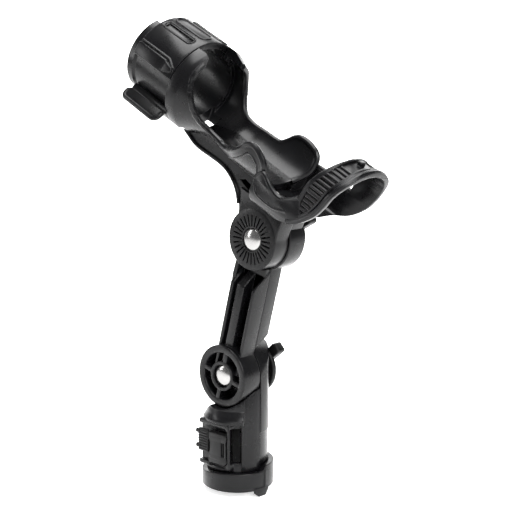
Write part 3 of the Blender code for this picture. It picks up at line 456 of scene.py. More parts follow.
# ---- latch --------------------------------------------------------------------
# The latch in the housing: a moulded cover plate with flared shoulders, and beside it
# a ribbed push button with two lugs that a small steel coil keeps pressed out.
PLATE_Y = HOUSING_Y - 0.9 * MM
BUTTON_X0 = -17.4 * MM + 0.3 * MM
BUTTON_X1 = -7.2 * MM - 0.3 * MM
BUTTON_RIBS = 8
RIB_PITCH = 1.9
LUG_HEIGHTS = (28.2 * MM, 38.9 * MM)

plate_low, plate_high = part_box("latch_plate")
x0, z0 = plate_low.x, plate_low.z
x1, z1 = plate_high.x, plate_high.z
plate_back = slab([(x0, z0), (x1 - 1.5 * MM, z0), (x1, z0 + 1.5 * MM), (x1, z0 + 4.2 * MM),
                   (x1 - 4.6 * MM, z0 + 6 * MM), (x1 - 4.6 * MM, z1 - 6 * MM), (x1, z1 - 4.2 * MM),
                   (x1, z1 - 1 * MM), (x1 - 1 * MM, z1), (x0, z1)],
                  PLATE_Y + 1.7 * MM, RECESS_Y - 0.3 * MM, 0.4 * MM)
plate_top = slab([(x0, z1 - 6.4 * MM), (x1 - 2.4 * MM, z1 - 6.4 * MM), (x1, z1 - 4.4 * MM),
                  (x1, z1 - 1.2 * MM), (x1 - 1.6 * MM, z1 - 0.4 * MM), (x0, z1 - 0.4 * MM)],
                 PLATE_Y, PLATE_Y + 3 * MM, 0.6 * MM)
plate_foot = slab([(x0, z0), (x1 - 2 * MM, z0), (x1, z0 + 1.8 * MM), (x1, z0 + 4.4 * MM),
                   (x1 - 2.4 * MM, z0 + 6.2 * MM), (x0, z0 + 6.2 * MM)],
                  PLATE_Y, PLATE_Y + 3.4 * MM, 0.6 * MM)
plate_panel = block((x0 + 1.2 * MM, x1 - 5.0 * MM), (PLATE_Y - 0.1 * MM, PLATE_Y + 3 * MM),
                    (z0 + 3 * MM, z1 - 3 * MM), 0.6 * MM)
plate_rail = block((x1 - 2.2 * MM, x1 - 0.6 * MM), (PLATE_Y + 0.2 * MM, PLATE_Y + 4 * MM),
                   (z0 + 3 * MM, z1 - 3 * MM), 0.4 * MM)
dress(gather([plate_back, plate_top, plate_foot, plate_panel, plate_rail]), "latch_cover",
      MATT_NYLON, "black_nylon_matt", "base", "latch_plate")

button = block((BUTTON_X0, BUTTON_X1), (PLATE_Y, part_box("latch_button")[1].y), (24.6 * MM, 41.4 * MM),
               1.0 * MM)
button_ribs = [block((BUTTON_X0 + 0.4 * MM, BUTTON_X1 - 0.4 * MM), (PLATE_Y - 0.6 * MM, PLATE_Y + 2 * MM),
                     ((25.6 + RIB_PITCH * i) * MM, (26.6 + RIB_PITCH * i) * MM), 0.35 * MM)
               for i in range(BUTTON_RIBS)]
button_lugs = [moved(turn([(0, BUTTON_X0 - 1.8 * MM), (1.2 * MM, BUTTON_X0 - 1.8 * MM),
                           (1.6 * MM, BUTTON_X0 - 1.4 * MM), (1.6 * MM, BUTTON_X0 + 2 * MM),
                           (0, BUTTON_X0 + 2 * MM)], "X", 40), y=HOUSING_Y - 0.2 * MM, z=z)
               for z in LUG_HEIGHTS]
dress(gather([button] + button_ribs + button_lugs), "latch_push", MATT_NYLON, "black_nylon_matt",
      "button", "latch_button")

# ---- arm ----------------------------------------------------------------------
# The tilting arm: an H-section nylon bar with a wheel-like disc round the lower bolt
# (rim, hub and four spokes) and a round ear round the upper one.
ARM = Matrix.Translation((0, 0, AXIS_Z)) @ Matrix.Rotation(math.radians(14.8), 4, "Y")
ARM_LENGTH = 101.6 * MM
ARM_SIDE = 11.3 * MM
BAR_FOOT = 4 * MM
NEAR_Y = -13.5 * MM
FAR_Y = 11.0 * MM
WEB_Y = NEAR_Y + 9.2 * MM
RAMP_FOOT = ARM_LENGTH - 50.9 * MM
RAMP_TOP = ARM_LENGTH - 20.3 * MM
RAMP_REACH = 30 * MM
LOW_R = 22.0 * MM
LOW_FACE = -16.9 * MM
RIM = 5.4 * MM
BOLT_HEAD_R = 7.6 * MM
HUB_WAY_R = BOLT_HEAD_R + 0.5 * MM
HUB_R = BOLT_HEAD_R + 2.9 * MM
BACK_FOOT = LOW_R + 0.4 * MM
HIGH_R = 22.2 * MM
HIGH_FACE = 15.9 * MM
DISC_R = 20.9 * MM


def wheel(radius, low, high, z=0.0):
    """A round block along Y, centred at a height."""
    return moved(rod(radius, low, high, "Y"), z=z)


def arm_bar(x_low, x_high, y_low, edge):
    """A bar of the arm, whose top runs back up the ramp under the cradle's disc."""
    ramp = (RAMP_TOP - RAMP_FOOT) / (EAR_GAP + RAMP_REACH)
    top_low = RAMP_FOOT + (y_low + RAMP_REACH) * ramp
    top_high = RAMP_FOOT + (-EAR_GAP + RAMP_REACH) * ramp
    return slab([(y_low, BAR_FOOT), (-EAR_GAP, BAR_FOOT), (-EAR_GAP, top_high), (y_low, top_low)],
                x_low, x_high, edge, "YZ")


def back_height(y):
    """Height at which the arm's far half starts, over the post's ear."""
    return BACK_FOOT + y * 25.6 / 30


bulge = mm((1.6, -47), (-1.2, -38), (-1.8, -30), (-1.2, -20), (1.6, -12))
back_slope = [(-0.2 * MM, BACK_FOOT), (FAR_Y, back_height(FAR_Y)), (FAR_Y, ARM_LENGTH - 6 * MM),
              (-0.2 * MM, ARM_LENGTH - 6 * MM)]
back_block = [(-0.2 * MM, BACK_FOOT), (FAR_Y - 1 * MM, back_height(FAR_Y - MM)),
              (FAR_Y - 1 * MM, 37 * MM), (-0.2 * MM, 29 * MM)]
near_bars = [arm_bar(-ARM_SIDE, -ARM_SIDE + 2.8 * MM, NEAR_Y, 0.8 * MM),
             arm_bar(ARM_SIDE - 2.6 * MM, ARM_SIDE, NEAR_Y, 0.8 * MM),
             arm_bar(-5.0 * MM, 1.7 * MM, NEAR_Y, 0.7 * MM),
             arm_bar(-ARM_SIDE + 1 * MM, ARM_SIDE - 1 * MM, WEB_Y, 0.0),
             slab([(a - ARM_SIDE, ARM_LENGTH + b) for a, b in bulge], NEAR_Y + 2.2 * MM, FAR_Y - 2 * MM,
                  0.9 * MM)]
far_bars = [slab(back_slope, -ARM_SIDE, -ARM_SIDE + 2.6 * MM, 0.7 * MM, "YZ"),
            slab(back_slope, ARM_SIDE - 2.6 * MM, ARM_SIDE, 0.7 * MM, "YZ"),
            block((-ARM_SIDE + 1 * MM, ARM_SIDE - 1 * MM), (WEB_Y, WEB_Y + 4.2 * MM),
                  (BACK_FOOT, RAMP_TOP + 8 * MM)),
            slab(back_block, -ARM_SIDE + 1 * MM, ARM_SIDE - 1 * MM, 0.4 * MM, "YZ")]
bars = [carve(bar, [wheel(DISC_R + 0.9 * MM, -40 * MM, EAR_GAP, ARM_LENGTH)]) for bar in near_bars + far_bars]

rim = turn([(LOW_R - RIM, LOW_FACE + 0.2 * MM), (LOW_R, LOW_FACE), (LOW_R, -EAR_GAP),
            (LOW_R - RIM, -EAR_GAP)], "Y", STEPS, 1.1 * MM)
hub = turn([(HUB_WAY_R, LOW_FACE + 0.3 * MM), (HUB_R, LOW_FACE + 0.3 * MM), (HUB_R, -4 * MM),
            (BOLT_WAY_R, -4 * MM), (BOLT_WAY_R, LOW_FACE + 4.2 * MM), (HUB_WAY_R, LOW_FACE + 4.2 * MM)],
           "Y", STEPS, 0.5 * MM)
back_plate = sleeve(SPRING_SEAT_R, LOW_R - 1 * MM, -6 * MM, -0.2 * MM, "Y")
spokes = [moved(block((-1.6 * MM, 1.6 * MM), (LOW_FACE + 0.5 * MM, -5 * MM),
                      (HUB_R - 1 * MM, LOW_R - RIM + 1 * MM), 0.6 * MM), degrees=90 * i, axis="Y")
          for i in range(4)]
upper_ear = turn([(BOLT_WAY_R, SPRING_SEAT_END), (SPRING_SEAT_R, SPRING_SEAT_END), (SPRING_SEAT_R, EAR_GAP),
                  (HIGH_R, EAR_GAP), (HIGH_R, HIGH_FACE), (BOLT_WAY_R, HIGH_FACE)], "Y", STEPS, 0.8 * MM)
moved(upper_ear, z=ARM_LENGTH)
arm = gather(bars + [rim, hub, back_plate] + spokes + [upper_ear])
set_in(arm, ARM)
dress(arm, "tilting_arm", SATIN_NYLON, "black_nylon", "arm", "extension_arm")

# ---- cradle -------------------------------------------------------------------
# The rod's seat: one nylon moulding with a slotted round tube behind, an open trough
# with two side wings, a neck below it and a joint disc with a ring of radial slots.
# It is drawn along its own axis, s forward and w square to it, then set in place.
HEAD = Matrix.Translation(JOINTS["collar_turn"]["pos_m"]) @ Matrix.Rotation(math.radians(27.5), 4, "Y")
RISE = 62.0 * MM
BORE_R = 24.0 * MM
TUBE_R = BORE_R + 3.5 * MM
TROUGH_R = BORE_R + 3.6 * MM
COLLAR_R = TUBE_R + 5.4 * MM
COLLAR_FRONT = -99.9 * MM
COLLAR_BACK = COLLAR_FRONT - 40.4 * MM
TUBE_BACK = COLLAR_BACK - 8.1 * MM
STOP_FRONT = COLLAR_FRONT + 0.3 * MM
STOP_BACK = COLLAR_FRONT + 4.0 * MM
DISC_FACE = -13.7 * MM
HEAD_SEAT = DISC_FACE + 2.4 * MM
HEAD_SEAT_R = 7.9 * MM
DISC_SLOTS = 28
SCREW_WAY_R = 1.9 * MM
SCREW_PLACES = mm((-1.0, -7.0), (11.0, 7.0))
NEAR_WING = mm((-86.0, 34.0), (-87.6, 24.0), (-87.0, 13.7), (-84.4, 6.9), (-81.4, 1.2), (-76.6, -6.9),
               (-70.0, -12.8), (-60.0, -16.4), (-50.0, -17.0), (-42.0, -16.4), (-35.0, -12.8),
               (-28.2, -7.6), (-23.0, -2.2), (-17.2, 0.4), (-11.0, -1.2), (-5.4, -5.6), (-3.6, -12.0),
               (-4.8, -18.5), (-7.0, -24.0))
FAR_WING = mm((-79.0, 34.0), (-81.0, 26.0), (-85.0, 12.0), (-82.6, 0.0), (-75.0, -7.4), (-64.0, -9.8),
              (-50.0, -10.4), (-41.0, -10.6), (-35.0, -9.9), (-30.6, -6.0), (-27.0, -1.8), (-22.0, 0.9),
              (-16.0, 1.3), (-10.0, 0.2), (-5.0, -2.2), (-2.6, -7.2), (-2.4, -14.0), (-4.8, -19.5),
              (-7.0, -24.0))
WING_REACH = {-1: 17 * MM, 1: 12 * MM}
WING_FOOT = -23 * MM
INNER_BEAD_START = -62 * MM
SPINE = mm((-97.0, -26.0), (-91.0, -29.2), (-84.5, -31.4), (-74.0, -34.0), (-52.0, -33.2),
           (-42.0, -34.3), (-33.6, -37.8), (-27.0, -42.8), (-22.4, -49.0), (-20.2, -54.0))
SPINE_SIDE = -DISC_FACE - 1.9 * MM
SPINE_FRONT = -7.5 * MM
SPINE_TOP = -18 * MM
NECK_FRONT = 17.0 * MM
NECK_TOP = -33.6 * MM


def flowing(points, steps=8):
    """A smooth curve through given points."""
    curve = []
    padded = [points[0]] + list(points) + [points[-1]]
    for p0, p1, p2, p3 in zip(padded, padded[1:], padded[2:], padded[3:]):
        for i in range(steps):
            t = i / steps
            curve.append(tuple(0.5 * (2 * b + (c - a) * t + (2 * a - 5 * b + 4 * c - d) * t * t
                                      + (3 * b - a - 3 * c + d) * t ** 3)
                               for a, b, c, d in zip(p0, p1, p2, p3)))
    return curve + [tuple(points[-1])]


def bead(points, radius, closed=False):
    """A round bead laid along a path and made mesh."""
    only(None)
    bpy.ops.curve.primitive_bezier_curve_add()
    made = bpy.context.object
    made.data.splines.clear()
    line = made.data.splines.new("POLY")
    line.points.add(len(points) - 1)
    for knot, point in zip(line.points, points):
        knot.co = (*point, 1.0)
    line.use_cyclic_u = closed
    made.data.bevel_depth = radius
    made.data.bevel_resolution = 3
    made.data.use_fill_caps = True
    bpy.ops.object.convert(target="MESH")
    made = bpy.context.object
    made.data.materials.clear()
    return settle(made)

def screw_ways(low, high):
    """The bored ways of the two screws that hold the front arch."""
    return [moved(rod(SCREW_WAY_R, low, high, "Z", 24), x=x, y=y) for x, y in SCREW_PLACES]


outer_line = flowing([(COLLAR_R, STOP_FRONT + 9 * MM), (TROUGH_R + 1 * MM, -80 * MM), (25.2 * MM, -67 * MM),
                      (25.2 * MM, -56 * MM), (TROUGH_R, -38 * MM), (TROUGH_R, 20 * MM)], 6)
inner_line = flowing([(BORE_R, 20 * MM), (BORE_R, -38 * MM), (21.6 * MM, -56 * MM), (21.6 * MM, -67 * MM),
                      (25.8 * MM, -84 * MM), (26.8 * MM, STOP_BACK)], 6)
shell = turn([(BORE_R, TUBE_BACK), (TUBE_R + 0.9 * MM, TUBE_BACK), (TUBE_R + 1.4 * MM, TUBE_BACK + 0.6 * MM),
              (TUBE_R + 1.4 * MM, TUBE_BACK + 6 * MM), (TUBE_R, TUBE_BACK + 8 * MM), (TUBE_R, STOP_FRONT),
              (COLLAR_R - 0.8 * MM, STOP_FRONT), (COLLAR_R, STOP_FRONT + 0.8 * MM)]
             + outer_line + inner_line + [(BORE_R, STOP_BACK)], "X", 160)
wing_lines = {-1: flowing(NEAR_WING, 6), 1: flowing(FAR_WING, 6)}
over_trough = mm((-7, -33.4), (60, -33.4), (60, 60), (-84, 60))
near_room = slab(wing_lines[-1] + over_trough, -60 * MM, 0.0)
far_room = slab(wing_lines[1] + over_trough, -0.01 * MM, 60 * MM)
rear_slot = block((TUBE_BACK - 5 * MM, STOP_FRONT + 1 * MM), (-13 * MM, 13 * MM), (0, 60 * MM))
front_slot = block((STOP_FRONT - 1 * MM, -60 * MM), (-16 * MM, 11 * MM), (6 * MM, 60 * MM))
floor_slot = block((-99.0 * MM, -86.0 * MM), (-18 * MM, 18 * MM), (-45 * MM, 0), 1 * MM)
carve(shell, [near_room, far_room, rear_slot, front_slot, floor_slot])

spine = slab(flowing(SPINE, 5) + mm((-18, -60), (0, -60), (17, -50))
             + [(NECK_FRONT, NECK_TOP), (SPINE_FRONT, NECK_TOP), (SPINE_FRONT, SPINE_TOP),
                (-97 * MM, SPINE_TOP)], -SPINE_SIDE, SPINE_SIDE, 1.0 * MM)
bore_room = turn([(0, 20.5 * MM)] + inner_line
                 + [(BORE_R, STOP_BACK), (BORE_R, -160 * MM), (0, -160 * MM)], "X", 160)
ear_room = wheel(HIGH_R + 0.9 * MM, -EAR_GAP, 40 * MM, -RISE)
skirt_room = block((-40 * MM, 40 * MM), (-EAR_GAP, 40 * MM), (-100 * MM, -45 * MM))
pocket = slab(mm((-29.0, -32.6), (-24.4, -29.8), (-11.4, -31.6), (-13.6, -36.4)), -40 * MM, -5 * MM)
pocket_way = slab(mm((-22.5, -30.6), (-12.4, -31.8), (-13.6, -34.4)), -40 * MM, 40 * MM)
spine_ways = screw_ways(-48 * MM, 0)
spine_slot = block((-99.0 * MM, -85.2 * MM), (-12.5 * MM, 12.5 * MM), (-45 * MM, 0))
carve(spine, [bore_room, ear_room, skirt_room, pocket, pocket_way, spine_slot] + spine_ways)

cheek = slab(mm((-18.6, -52), (-20.6, -62), (20.6, -62), (17.2, -46), (17, -34.6), (-25, -36)),
             DISC_FACE + 0.3 * MM, -0.3 * MM, 0.8 * MM)
cheek_way = moved(rod(BOLT_WAY_R, -40 * MM, 20 * MM, "Y", 48), z=-RISE)
carve(cheek, [cheek_way, wheel(20 * MM, -40 * MM, 10 * MM, -RISE)])
joint_disc = turn([(BOLT_WAY_R, -SPRING_SEAT_END), (BOLT_WAY_R, HEAD_SEAT), (HEAD_SEAT_R, HEAD_SEAT),
                   (HEAD_SEAT_R, DISC_FACE), (DISC_R, DISC_FACE), (DISC_R, -EAR_GAP),
                   (SPRING_SEAT_R, -EAR_GAP), (SPRING_SEAT_R, -SPRING_SEAT_END)], "Y", STEPS, 0.6 * MM)
slots = [moved(block((8.9 * MM, 17.0 * MM), (-40 * MM, DISC_FACE + 2.6 * MM), (-0.6 * MM, 0.6 * MM)),
               degrees=360 * i / DISC_SLOTS, axis="Y") for i in range(DISC_SLOTS)]
moved(carve(joint_disc, slots), z=-RISE)


def wing_path(side, depth, aside=0.0):
    """Points along a wing's edge: depth 0 is on the outer face, 1 on the inner, and aside is off the edge."""
    path = []
    line = wing_lines[side]
    for (s0, w0), (s, w), (s1, w1) in zip(line, line[1:], line[2:]):
        length = math.hypot(s1 - s0, w1 - w0)
        s, w = s + aside * (w1 - w0) / length, w - aside * (s1 - s0) / length
        outside = min(outer_line, key=lambda point: abs(point[1] - s))[0]
        inside = min(inner_line, key=lambda point: abs(point[1] - s))[0]
        radius = outside + depth * (inside - outside)
        across = math.sqrt(max(radius * radius - w * w, 0.0))
        if across > WING_REACH[side] and w > WING_FOOT:
            path.append((s, side * across, w))
    return path


keel = [(s, w + 1.4 * MM) for s, w in flowing(SPINE, 5) if w > -50 * MM and s > -91 * MM]
beads = [bead(wing_path(side, 0.5), 2.2 * MM) for side in (-1, 1)]
for side in (-1, 1):
    inner_edge = [point for point in wing_path(side, 0.03, 5.4 * MM) if point[0] > INNER_BEAD_START]
    beads.append(bead(inner_edge, 0.8 * MM))
for y in (-SPINE_SIDE, SPINE_SIDE):
    beads.append(bead([(s, y, w) for s, w in keel], 1.6 * MM))
cradle = gather([shell, spine, cheek, joint_disc] + beads)
set_in(cradle, HEAD)
dress(cradle, "rod_cradle", SATIN_NYLON, "black_nylon", "head", "cradle")

# ---- front arch ---------------------------------------------------------------
# The hoop that the rod's shaft passes under, moulded on its own with a raised front
# rim and ribbed legs, and fixed to the neck by two steel screws through its floor.
ARCH_SIDE = 28.0 * MM
ARCH_TOP = 23.2 * MM
ARCH_LOW = -33.3 * MM
ARCH_WALL = 3.5 * MM
FLOOR_SHARE = 1.43
RIB_START = 35 * MM
FRONT_EDGE = flowing(mm((59.0, 34.0), (57.8, 18.0), (54.0, 6.0), (50.8, -5.0), (46.6, -13.8),
                        (38.6, -22.8), (28.4, -28.6), (17.2, -33.4)), 6)
REAR_EDGE = flowing(mm((31.0, -9.6), (32.6, 2.0), (36.6, 14.0), (40.5, 24.0), (41.5, 34.0)), 6)
NEAR_TOP = mm((-6.4, -16.0), (-1.4, -10.6), (8.5, -15.8), (18, -17.6), (26.0, -13.4))
FAR_TOP = mm((-6.4, -14.0), (-1.4, -9.0), (12, -8.4), (26.0, -8.8))
SKIRT = flowing(mm((-5.4, -16.5), (-3.4, -21.5), (2.0, -25.2), (16.5, -25.2), (27.0, -21.5)), 4)
EDGE_BEADS = ((FRONT_EDGE, -27, 2.4, 0.9, 1.8), (FRONT_EDGE, -20, 5.6, 0.5, 0.8),
              (REAR_EDGE, -20, -1.0, 0.9, 1.2))


def hoop(inset):
    """Outline of the arch seen from the front, with a floor thicker than its sides."""
    side, foot = ARCH_SIDE - inset, ARCH_LOW + FLOOR_SHARE * inset
    right = [(side - 6 * MM, foot), (side - 3.4 * MM, foot + 0.7 * MM), (side - 1.2 * MM, foot + 3 * MM),
             (side, foot + 8 * MM), (side, 0)]
    right += [(side * math.cos(a), (ARCH_TOP - inset) * math.sin(a))
              for a in [math.radians(3 * i) for i in range(1, 31)]]
    return right + [(-y, z) for y, z in reversed(right) if y > 1e-6]


def on_hoop(s, side, w, sunk):
    """A point under the arch's outer face: along s, at the height w on one side."""
    if w < 0:
        return (s, math.copysign(ARCH_SIDE - sunk, side), w)
    a = math.asin(min(1.0, w / ARCH_TOP))
    return (s, math.copysign((ARCH_SIDE - sunk) * math.cos(a), side), (ARCH_TOP - sunk) * math.sin(a))


def edge_at(edge, w):
    """How far forward an edge lies at a height."""
    return min(edge, key=lambda point: abs(point[1] - w))[0]


arch = slab(hoop(0.0), -8 * MM, 70 * MM, 0.0, "YZ")
carve(arch, [slab(hoop(ARCH_WALL), -20 * MM, 80 * MM, 0.0, "YZ")])
rear_foot = mm((-5.2, -33.4), (-6.4, -24.0))
around = REAR_EDGE + FRONT_EDGE[:-1] + mm((17.2, -33.4))
near_side = slab(rear_foot + NEAR_TOP + around, -60 * MM, 0.01 * MM)
far_side = slab(rear_foot + FAR_TOP + around, 0.0, 60 * MM)
carve(arch, [near_side, far_side], "INTERSECT")
gusset = slab(mm((-4, -33.0), (-9.5, -33.0), (-15, -27.5), (-15, -22.5), (-9, -19.0), (-4, -19.0)),
              12.0 * MM, 27.6 * MM)
carve(arch, [gusset], "UNION")
panel = slab(flowing(mm((34.2, -10.0), (35.8, 3.0), (40.0, 14.0), (44.0, 26.0), (50.5, 26.0),
                        (50.6, 8.0), (47.6, -4.0), (43.0, -12.0), (36.6, -17.0)), 4), -60 * MM, 60 * MM)
carve(panel, [slab(hoop(1.6 * MM), -80 * MM, 80 * MM, 0.0, "YZ")])
tube_room = rod(TROUGH_R + 0.3 * MM, -30 * MM, 0.6 * MM, "X", 120)
carve(arch, [panel, tube_room] + screw_ways(-60 * MM, -20 * MM))
soften(arch, 0.5 * MM, 2, 45)

trims = []
rib_heights = [(-13.6 + 3.2 * i) * MM for i in range(5)]
rib_heights += [ARCH_TOP * math.sin(math.radians(7.5 * i)) for i in range(9)]
for side, top in ((-1, NEAR_TOP), (1, FAR_TOP)):
    for w in rib_heights:
        ends = (max(edge_at(REAR_EDGE, w) + 2.6 * MM, RIB_START), edge_at(FRONT_EDGE, w) - 6.4 * MM)
        trims.append(bead([on_hoop(s, side, w, 1.1 * MM) for s in ends], 0.85 * MM))
    for edge, lowest, shift, sunk, radius in EDGE_BEADS:
        trims.append(bead([on_hoop(s - shift * MM, side, w, sunk * MM) for s, w in edge
                           if lowest * MM < w < ARCH_TOP * 0.9], radius * MM))
    upper_edge = flowing(top, 4) + mm((31, -9))
    trims.append(bead([on_hoop(s, side, w, 1.6 * MM) for s, w in upper_edge], 1.7 * MM))
    trims.append(bead([on_hoop(s, side, w, 0.4 * MM) for s, w in SKIRT], 1.1 * MM))
for edge, lowest, shift, sunk, radius in EDGE_BEADS:
    over = []
    for a in [math.radians(62 + 4 * i) for i in range(15)]:
        s = edge_at(edge, ARCH_TOP * math.sin(a)) - shift * MM
        over.append((s, (ARCH_SIDE - sunk * MM) * math.cos(a), (ARCH_TOP - sunk * MM) * math.sin(a)))
    trims.append(bead(over, radius * MM))
nub = block((44.5 * MM, 48.0 * MM), (-2.2 * MM, 2.2 * MM), (ARCH_TOP - 4 * MM, ARCH_TOP + 1.1 * MM), 0.6 * MM)
arch = gather([arch, nub] + trims)
set_in(arch, HEAD)
dress(arch, "hoop", SATIN_NYLON, "black_nylon", "head", "front_arch")

# ---- lock collar --------------------------------------------------------------
# The C-shaped nylon collar that snaps round the tube and turns over its slot. It has
# a thumb fin by its opening, a pointed grip ridge and raised capsule loops.
FIN_TOP = COLLAR_R + 8.6 * MM
FIN_AT = -45
RIDGE_TURN = 90 - 17
low, high = COLLAR_BACK, COLLAR_FRONT


def round_point(radius, degrees, s):
    """A point on the collar: degrees rise from the near side."""
    a = math.radians(degrees)
    return (s, -radius * math.cos(a), radius * math.sin(a))


def pad(start, end, rise, s0, s1, edge):
    """A raised pad that follows the collar's curve."""
    turns = [start + (end - start) * i / 8 for i in range(9)]
    outline = [round_point(COLLAR_R - 1.5 * MM, d, 0)[1:] for d in turns]
    outline += [round_point(COLLAR_R + rise, d, 0)[1:] for d in reversed(turns)]
    return slab(outline, s0, s1, edge, "YZ")


def capsule(start, end, s0, s1, radius):
    """A raised loop with round ends, laid on the collar."""
    middle, half = (start + end) / 2, (end - start) / 2
    length = math.radians(half) * COLLAR_R
    line = []
    for i in range(32):
        a = math.tau * i / 32
        s = (s0 if math.cos(a) < 0 else s1) + length * math.cos(a) * 0.9
        line.append(round_point(COLLAR_R + 0.1 * MM, middle + half * math.sin(a), s))
    return bead(line, radius, True)


collar = turn([(TUBE_R + 0.3 * MM, low), (COLLAR_R - 1.6 * MM, low), (COLLAR_R - 0.5 * MM, low + 0.5 * MM),
               (COLLAR_R, low + 1.8 * MM), (COLLAR_R, high - 1.8 * MM),
               (COLLAR_R - 0.5 * MM, high - 0.5 * MM), (COLLAR_R - 1.6 * MM, high),
               (TUBE_R + 0.3 * MM, high)], "X", 180)
gap = slab([(0, 0)] + [round_point(70 * MM, d, 0)[1:] for d in (-42, -17, 8)], low - 5 * MM, high + 5 * MM,
           0.0, "YZ")
carve(collar, [gap, pad(59, 66, 3 * MM, low + 6 * MM, high - 8 * MM, 0.0)])
soften(collar, 0.5 * MM, 2, 50)

fin = slab([(low + 0.5 * MM, COLLAR_R - 4.3 * MM), (high - 4 * MM, COLLAR_R - 4.3 * MM),
            (high - 4 * MM, FIN_TOP - 4.5 * MM)]
           + arc(high - 8.5 * MM, FIN_TOP - 4.5 * MM, 4.5 * MM, 0, 90, 10)
           + arc(low + 2.5 * MM, FIN_TOP - 4 * MM, 4 * MM, 90, 180, 10)
           + [(low - 1.5 * MM, COLLAR_R + 1.2 * MM), (low + 0.5 * MM, COLLAR_R)],
           -1.4 * MM, 1.4 * MM, 0.6 * MM)
fin_edge = ([(high - 4.4 * MM, COLLAR_R + 0.5 * MM), (high - 4.4 * MM, FIN_TOP - 5 * MM)]
            + arc(high - 8.9 * MM, FIN_TOP - 4.9 * MM, 4.5 * MM, 0, 90, 8)
            + arc(low + 2.9 * MM, FIN_TOP - 4.4 * MM, 4 * MM, 90, 180, 8)
            + [(low - 1.1 * MM, COLLAR_R + 1.8 * MM)])
fin = gather([fin, bead([(s, 0.0, w) for s, w in fin_edge], 1.75 * MM)])
fin_root = round_point(COLLAR_R, FIN_AT, 0)
moved(fin, degrees=math.degrees(math.atan2(-fin_root[1], fin_root[2])), axis="X")

ridge = pad(9, 25, 1.9 * MM, low + 1.5 * MM, high - 9 * MM, 0.8 * MM)
ridge_tip = slab([(high - 11 * MM, -4.4 * MM), (high - 11 * MM, 4.4 * MM), (high - 2.4 * MM, 2.2 * MM),
                  (high - 0.6 * MM, 0), (high - 2.4 * MM, -1.2 * MM)],
                 COLLAR_R - 2 * MM, COLLAR_R + 1.7 * MM, 0.7 * MM, "XY")
moved(ridge_tip, degrees=RIDGE_TURN, axis="X")
ridge_edge = ((low + 2 * MM, 28), (high - 9 * MM, 28), (high - 1.6 * MM, 21))
loops = [bead([round_point(COLLAR_R + 0.2 * MM, d, s) for s, d in ridge_edge], 0.8 * MM),
         capsule(75, 92, low + 8 * MM, high - 9 * MM, 0.8 * MM),
         capsule(101, 117, low + 10 * MM, high - 6 * MM, 0.8 * MM),
         capsule(56.5, 68.5, low + 7.5 * MM, high - 9.5 * MM, 0.6 * MM)]
collar = gather([collar, fin, ridge, ridge_tip] + loops)
set_in(collar, HEAD)
dress(collar, "turning_collar", SATIN_NYLON, "black_nylon", "collar", "lock_collar")

# ---- bolts and hardware -------------------------------------------------------
# Each joint's stainless bolt has a polished dome on the near side and runs through
# both ears, a flat washer and the knob, into a brass nut pressed into the knob.
DOME_RISE = 2.5 * MM
SHANK_R = 4 * MM
LOW_EAR = 15.7 * MM
UPPER = HEAD @ Matrix.Translation((0, 0, -RISE))


def metal(name, colour, roughness, brushed):
    """Bare metal: slow tone changes, fine turning marks and a painted highlight that makes the edges near
    white.
    """
    made = bpy.data.materials.new(name)
    made.use_nodes = True
    tree = made.node_tree
    shader = tree.nodes["Principled BSDF"]
    shader.inputs["Metallic"].default_value = 1.0
    place = tree.nodes.new("ShaderNodeTexCoord")
    clouds = tree.nodes.new("ShaderNodeTexNoise")
    clouds.inputs["Scale"].default_value = 140.0
    clouds.inputs["Detail"].default_value = 4.0
    marks = tree.nodes.new("ShaderNodeTexNoise")
    marks.inputs["Scale"].default_value = 1800.0
    marks.inputs["Detail"].default_value = 2.0
    for texture in (clouds, marks):
        tree.links.new(place.outputs["Object"], texture.inputs["Vector"])
    tone = tree.nodes.new("ShaderNodeValToRGB")
    tone.color_ramp.elements[0].position = 0.3
    tone.color_ramp.elements[0].color = (*[c * 0.86 for c in colour], 1.0)
    tone.color_ramp.elements[1].position = 0.7
    tone.color_ramp.elements[1].color = (*colour, 1.0)
    tree.links.new(clouds.outputs["Fac"], tone.inputs["Fac"])
    # Painted highlight: the edges, found by the rounded normal, are mixed towards near white.
    rounded = tree.nodes.new("ShaderNodeBevel")
    rounded.samples = 4
    rounded.inputs["Radius"].default_value = 0.0003
    facing = tree.nodes.new("ShaderNodeNewGeometry")
    bend = tree.nodes.new("ShaderNodeVectorMath")
    bend.operation = "DOT_PRODUCT"
    tree.links.new(rounded.outputs["Normal"], bend.inputs[0])
    tree.links.new(facing.outputs["Normal"], bend.inputs[1])
    painted_edge_highlight = tree.nodes.new("ShaderNodeMapRange")
    painted_edge_highlight.inputs["From Min"].default_value = 0.98
    painted_edge_highlight.inputs["From Max"].default_value = 0.85
    painted_edge_highlight.inputs["To Max"].default_value = 0.6
    tree.links.new(bend.outputs["Value"], painted_edge_highlight.inputs["Value"])
    edge = tree.nodes.new("ShaderNodeMix")
    edge.data_type = "RGBA"
    edge.inputs["B"].default_value = (0.95, 0.95, 0.94, 1.0)
    tree.links.new(painted_edge_highlight.outputs["Result"], edge.inputs["Factor"])
    tree.links.new(tone.outputs["Color"], edge.inputs["A"])
    tree.links.new(edge.outputs["Result"], shader.inputs["Base Color"])
    gloss = tree.nodes.new("ShaderNodeMapRange")
    gloss.inputs["To Min"].default_value = roughness
    gloss.inputs["To Max"].default_value = roughness + 0.08
    tree.links.new(clouds.outputs["Fac"], gloss.inputs["Value"])
    tree.links.new(gloss.outputs["Result"], shader.inputs["Roughness"])
    bump = tree.nodes.new("ShaderNodeBump")
    bump.inputs["Strength"].default_value = brushed
    bump.inputs["Distance"].default_value = 0.00003
    tree.links.new(marks.outputs["Fac"], bump.inputs["Height"])
    tree.links.new(rounded.outputs["Normal"], bump.inputs["Normal"])
    tree.links.new(bump.outputs["Normal"], shader.inputs["Normal"])
    return made


